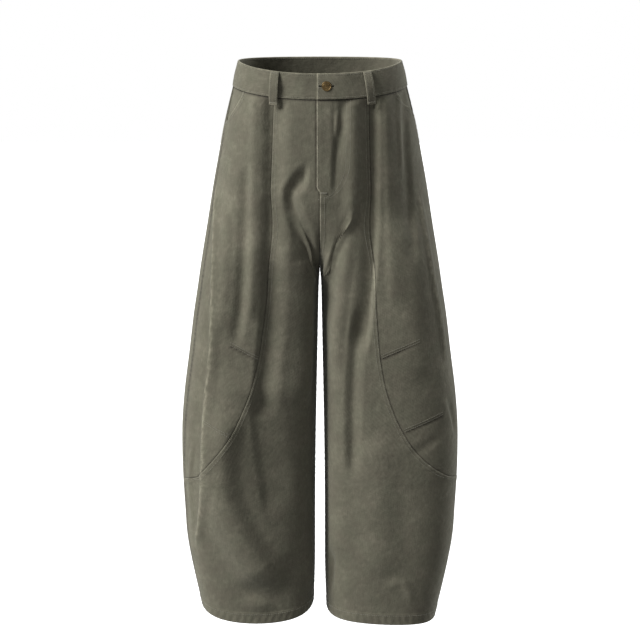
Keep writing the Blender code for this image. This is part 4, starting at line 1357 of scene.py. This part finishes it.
def build_button(material):
    """The waist button: its profile turned round the outward direction of the waistband."""
    place = np.array([BUTTON_PLACE[0]]), np.array([BUTTON_PLACE[1] + FRONT_DROP])
    centre, normal = ring_point(*place)[0], ring_outward(*place)[0]
    profile = np.array(BUTTON_PROFILE) + (0, BAND_PROUD + BAND_LAP_LIFT + 0.3)
    beside = unit(np.cross(normal, (0.0, 0.0, 1.0)))
    upright = np.cross(beside, normal)
    turn = np.linspace(0, 2 * np.pi, 72, endpoint=False)
    spoke = beside * np.cos(turn)[:, None] + upright * np.sin(turn)[:, None]
    points = centre + profile[:, None, 1:] * normal + profile[:, None, :1] * spoke
    number = np.arange(len(profile) * len(turn)).reshape(-1, len(turn))
    after = np.roll(number, -1, axis=1)
    faces = np.stack([number[:-1], after[:-1], after[1:], number[1:]], axis=-1).reshape(-1, 4)
    made = add_mesh("brass_button", points.reshape(-1, 3), faces.tolist(), material, BUTTON_ANGLE)
    close_poles(made)
    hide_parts("button")
    return made


def close_poles(made):
    """Merges the tiny rings at both ends of a turned shape into points, and turns its faces outwards."""
    shape = bmesh.new()
    shape.from_mesh(made.data)
    bmesh.ops.remove_doubles(shape, verts=shape.verts, dist=POLE_GAP)
    bmesh.ops.recalc_face_normals(shape, faces=shape.faces)
    shape.to_mesh(made.data)
    shape.free()


def linear(text):
    """An sRGB hex colour as linear light: c / 12.92 when small, else ((c + 0.055) / 1.055)^2.4, and 1."""
    values = np.array([int(text[i:i + 2], 16) / 255 for i in (1, 3, 5)])
    values = np.where(values <= 0.04045, values / 12.92, ((values + 0.055) / 1.055) ** 2.4)
    return (*values.tolist(), 1.0)


def set_inputs(made, inputs):
    """Gives a node's inputs values, or links from other nodes' outputs."""
    for name, value in inputs.items():
        if isinstance(value, bpy.types.NodeSocket):
            made.id_data.links.new(value, made.inputs[name])
        else:
            made.inputs[name].default_value = value


def node(tree, kind, inputs=None, **settings):
    """Adds a node. Each input takes a value, or a link from another node's output."""
    made = tree.nodes.new(kind)
    for name, value in settings.items():
        setattr(made, name, value)
    set_inputs(made, inputs or {})
    return made


def start_material(name):
    """A new material, its node tree and its shader."""
    made = bpy.data.materials.new(name)
    made.use_nodes = True
    return made, made.node_tree, made.node_tree.nodes["Principled BSDF"]


def object_place(tree):
    """The object's own coordinates, in metres."""
    return node(tree, "ShaderNodeTexCoord").outputs["Object"]


def noise(tree, place, scale, detail, roughness=0.5):
    """Soft noise from 0 to 1, with blotches of about 1 over the scale across."""
    inputs = {"Vector": place, "Scale": scale, "Detail": detail, "Roughness": roughness}
    return node(tree, "ShaderNodeTexNoise", inputs).outputs["Fac"]


def bumped(tree, height, distance, strength=1.0, beneath=None):
    """A bump by a height from 0 to 1, as deep as the distance in metres, on top of one beneath, if any."""
    inputs = {"Height": height, "Distance": distance, "Strength": strength}
    if beneath:
        inputs["Normal"] = beneath
    return node(tree, "ShaderNodeBump", inputs).outputs["Normal"]


def washed_twill():
    """Cotton twill, dyed olive in the piece, sewn and then washed.

    The wash leaves soft blotches. Seam edges are paler, as wash wear and painted highlight, and hollows
    darker, as painted shade. The slanted ribs of the weave give a dry, matt face with a little nap that
    lightens at a glancing view.
    """
    made, tree, shader = start_material("washed_cotton_twill")
    cut = node(tree, "ShaderNodeUVMap", uv_map="cut").outputs["UV"]
    place = object_place(tree)
    slant = (0, 0, math.radians(RIB_SLANT))
    turned = node(tree, "ShaderNodeMapping", {"Vector": cut, "Rotation": slant}).outputs["Vector"]
    weave = {"Vector": turned, "Scale": WAVE_PERIOD / RIB_PITCH, "Distortion": 0.6, "Detail": 1.0}
    ribs = node(tree, "ShaderNodeTexWave", weave, bands_direction="X").outputs["Fac"]
    # Thick places in the yarn: 1.2 mm across and 14 mm along the warp.
    drawn = node(tree, "ShaderNodeMapping", {"Vector": cut, "Scale": (830, 70, 1)}).outputs["Vector"]
    slubs = noise(tree, drawn, 1.0, 2.0)
    # Blotches of the wash, 45 mm across, and a finer cloud of 9 mm.
    blotch = noise(tree, place, 22.0, 3.0)
    cloud = noise(tree, place, 110.0, 3.0)
    wear_and_highlight = node(tree, "ShaderNodeAttribute", attribute_name="wear_and_highlight").outputs["Fac"]
    painted_shade = node(tree, "ShaderNodeAttribute", attribute_name="painted_shade").outputs["Fac"]
    patchy = node(tree, "ShaderNodeMapRange", {"Value": cloud, "From Min": 0.35, "From Max": 0.65,
                                               "To Min": 0.35, "To Max": 1.0}).outputs["Result"]
    patchy_wear_and_highlight = node(tree, "ShaderNodeMath", {0: wear_and_highlight, 1: patchy}, operation="MULTIPLY").outputs["Value"]
    # Each cause's plain value, and how far it moves the shade, which is 0.5 for plain cloth. The pale edges are
    # wash wear and painted highlight, and the last cause is painted shade.
    causes = (
        (blotch, 0.5, 0.30), (cloud, 0.5, 0.22), (slubs, 0.5, 0.22), (ribs, 0.5, 0.06),
        (patchy_wear_and_highlight, 0.0, 0.30), (painted_shade, 0.0, -0.50),
    )
    shade = 0.5
    for cause, plain, amount in causes:
        inputs = {0: cause, 1: amount, 2: -plain * amount}
        part = node(tree, "ShaderNodeMath", inputs, operation="MULTIPLY_ADD").outputs["Value"]
        shade = node(tree, "ShaderNodeMath", {0: part, 1: shade}, operation="ADD").outputs["Value"]
    ramp = node(tree, "ShaderNodeValToRGB", {"Fac": shade})
    ramp.color_ramp.elements[0].color = linear(TWILL_PAINTED_SHADE)
    ramp.color_ramp.elements[1].color = linear(TWILL_WEAR_AND_HIGHLIGHT)
    ramp.color_ramp.elements.new(0.25).color = linear(TWILL_DEEP)
    ramp.color_ramp.elements.new(0.5).color = linear(TWILL)
    # A faint change of hue over 30 mm, from warm to green.
    hues = {0: noise(tree, place, 34.0, 2.0), 6: linear(TWILL_WARM), 7: linear(TWILL_GREEN)}
    tint = node(tree, "ShaderNodeMix", hues, data_type="RGBA").outputs[2]
    tinted = {0: 1.0, 6: ramp.outputs["Color"], 7: tint}
    colour = node(tree, "ShaderNodeMix", tinted, data_type="RGBA", blend_type="MULTIPLY").outputs[2]
    # Small crumples of 13 mm, then the slubs and the ribs on them.
    bumps = bumped(tree, noise(tree, place, 75.0, 4.0, 0.55), 0.0011)
    bumps = bumped(tree, slubs, 0.00022, beneath=bumps)
    bumps = bumped(tree, ribs, 0.00016, beneath=bumps)
    set_inputs(shader, {
        "Base Color": colour, "Normal": bumps, "Roughness": 0.92, "IOR": 1.5, "Specular IOR Level": 0.25,
        "Sheen Weight": 0.22, "Sheen Roughness": 0.45, "Sheen Tint": linear(TWILL_NAP),
    })
    return made


def spun_thread():
    """Polyester-cotton sewing thread of two twisted plies, washed with the cloth and a little paler than it."""
    made, tree, shader = start_material("spun_sewing_thread")
    place = object_place(tree)
    shades = {0: noise(tree, place, 60.0, 2.0), 6: linear(THREAD_DARK), 7: linear(THREAD_PALE)}
    faded = node(tree, "ShaderNodeMix", shades, data_type="RGBA").outputs[2]
    plies = bumped(tree, noise(tree, place, 1500.0, 1.0), 0.0002, 0.8)
    set_inputs(shader, {"Base Color": faded, "Normal": plies, "Roughness": 0.7, "Sheen Weight": 0.15})
    return made


def antique_brass():
    """Brass, stamped, darkened in a bath and rubbed back: brown in the hollows, golden on the high places."""
    made, tree, shader = start_material("antiqued_stamped_brass")
    place = object_place(tree)
    stain = noise(tree, place, 420.0, 5.0, 0.6)
    ramp = node(tree, "ShaderNodeValToRGB", {"Fac": stain})
    for element, position, colour in zip(ramp.color_ramp.elements, (0.36, 0.62), (BRASS_DARK, BRASS)):
        element.position = position
        element.color = linear(colour)
    rough = node(tree, "ShaderNodeMapRange", {"Value": stain, "From Min": 0.3, "From Max": 0.7,
                                              "To Min": 0.55, "To Max": 0.34}).outputs["Result"]
    pits = bumped(tree, noise(tree, place, 2600.0, 2.0), 0.0001, 0.5)
    stained = ramp.outputs["Color"]
    set_inputs(shader, {"Base Color": stained, "Normal": pits, "Roughness": rough, "Metallic": 1.0})
    return made


def build_stage():
    """A plain pale floor, well below the hems because the garment hangs from its waist."""
    height = HEM_LEVEL * 0.001 - FLOOR_DROP
    corners = [(x * FLOOR_REACH, y * FLOOR_REACH, height) for x, y in ((-1, -1), (1, -1), (1, 1), (-1, 1))]
    mesh = bpy.data.meshes.new("floor")
    mesh.from_pydata(corners, [], [(0, 1, 2, 3)])
    made = bpy.data.objects.new("floor", mesh)
    bpy.context.scene.collection.objects.link(made)
    paper, _, shader = start_material("matt_paper_floor")
    set_inputs(shader, {"Base Color": linear(FLOOR_PALE), "Roughness": 0.95, "Specular IOR Level": 0.1})
    mesh.materials.append(paper)
    # The floor is seen but throws no light back, because the photograph's object was lit well away from one.
    made.visible_diffuse = False


def add_sun(name, azimuth, elevation, strength, softness):
    """A soft light from far away. Azimuth 0 shines from the front, and 90 from the right."""
    light = bpy.data.lights.new(name, "SUN")
    light.energy = strength
    light.angle = math.radians(softness)
    made = bpy.data.objects.new(name, light)
    made.rotation_euler = (math.radians(90 - elevation), 0.0, math.radians(azimuth))
    bpy.context.scene.collection.objects.link(made)


def build_light():
    """A soft key light from the left, a weaker one from behind on the right, and a pale surround."""
    for light in LIGHTS:
        add_sun(*light)
    world = bpy.data.worlds.new("pale_surround")
    world.use_nodes = True
    tree = world.node_tree
    fill = tree.nodes["Background"]
    set_inputs(fill, {"Color": linear(SURROUND), "Strength": FILL_STRENGTH})
    # The photograph's ground is white paper, so what is seen past the floor's edge is white too.
    white = {"Color": linear(PAPER), "Strength": 1.0}
    paper = node(tree, "ShaderNodeBackground", white).outputs["Background"]
    seen = node(tree, "ShaderNodeLightPath").outputs["Is Camera Ray"]
    both = node(tree, "ShaderNodeMixShader", {0: seen, 1: fill.outputs["Background"], 2: paper})
    set_inputs(tree.nodes["World Output"], {"Surface": both.outputs["Shader"]})
    bpy.context.scene.world = world
    bpy.context.scene.view_settings.view_transform = "Standard"


def build_camera():
    """The photograph's view: from a little above the waist, looking slightly down at the whole garment."""
    data = bpy.data.cameras.new("camera")
    data.lens = LENS
    data.sensor_width = 36
    made = bpy.data.objects.new("camera", data)
    made.location = CAMERA_PLACE
    made.rotation_euler = (math.radians(90 - CAMERA_PITCH), 0, 0)
    bpy.context.scene.collection.objects.link(made)
    bpy.context.scene.camera = made


def build_garment():
    """All the cloth, its stitching and the button."""
    twill, thread, brass = washed_twill(), spun_thread(), antique_brass()
    sewn = {}
    for half in ("right", "left"):
        sewn["front_" + half] = [stitch_front(half, thread)]
        sewn["back_" + half] = [stitch_hem(half, thread)]
        sewn["side_" + half] = [stitch_side(half, thread)]
        for part, build in (("front", build_front), ("side", build_side), ("back", build_back)):
            made = build(half, twill)
            declare_sheet(*made, "hung", sewn[part + "_" + half])
        declare_sheet(*build_facing(half, twill), "hung")
    stitch_back(thread)
    stitch_bartacks(thread)
    declare_sheet(*build_waistband(twill), "folded", [stitch_waistband(thread), buttonhole_thread(thread)])
    for row in LOOP_ROWS:
        declare_sheet(*build_loop(row, twill), "folded")
    stitch_loops(thread)
    build_button(brass)


build_camera()
build_stage()
build_light()
build_garment()
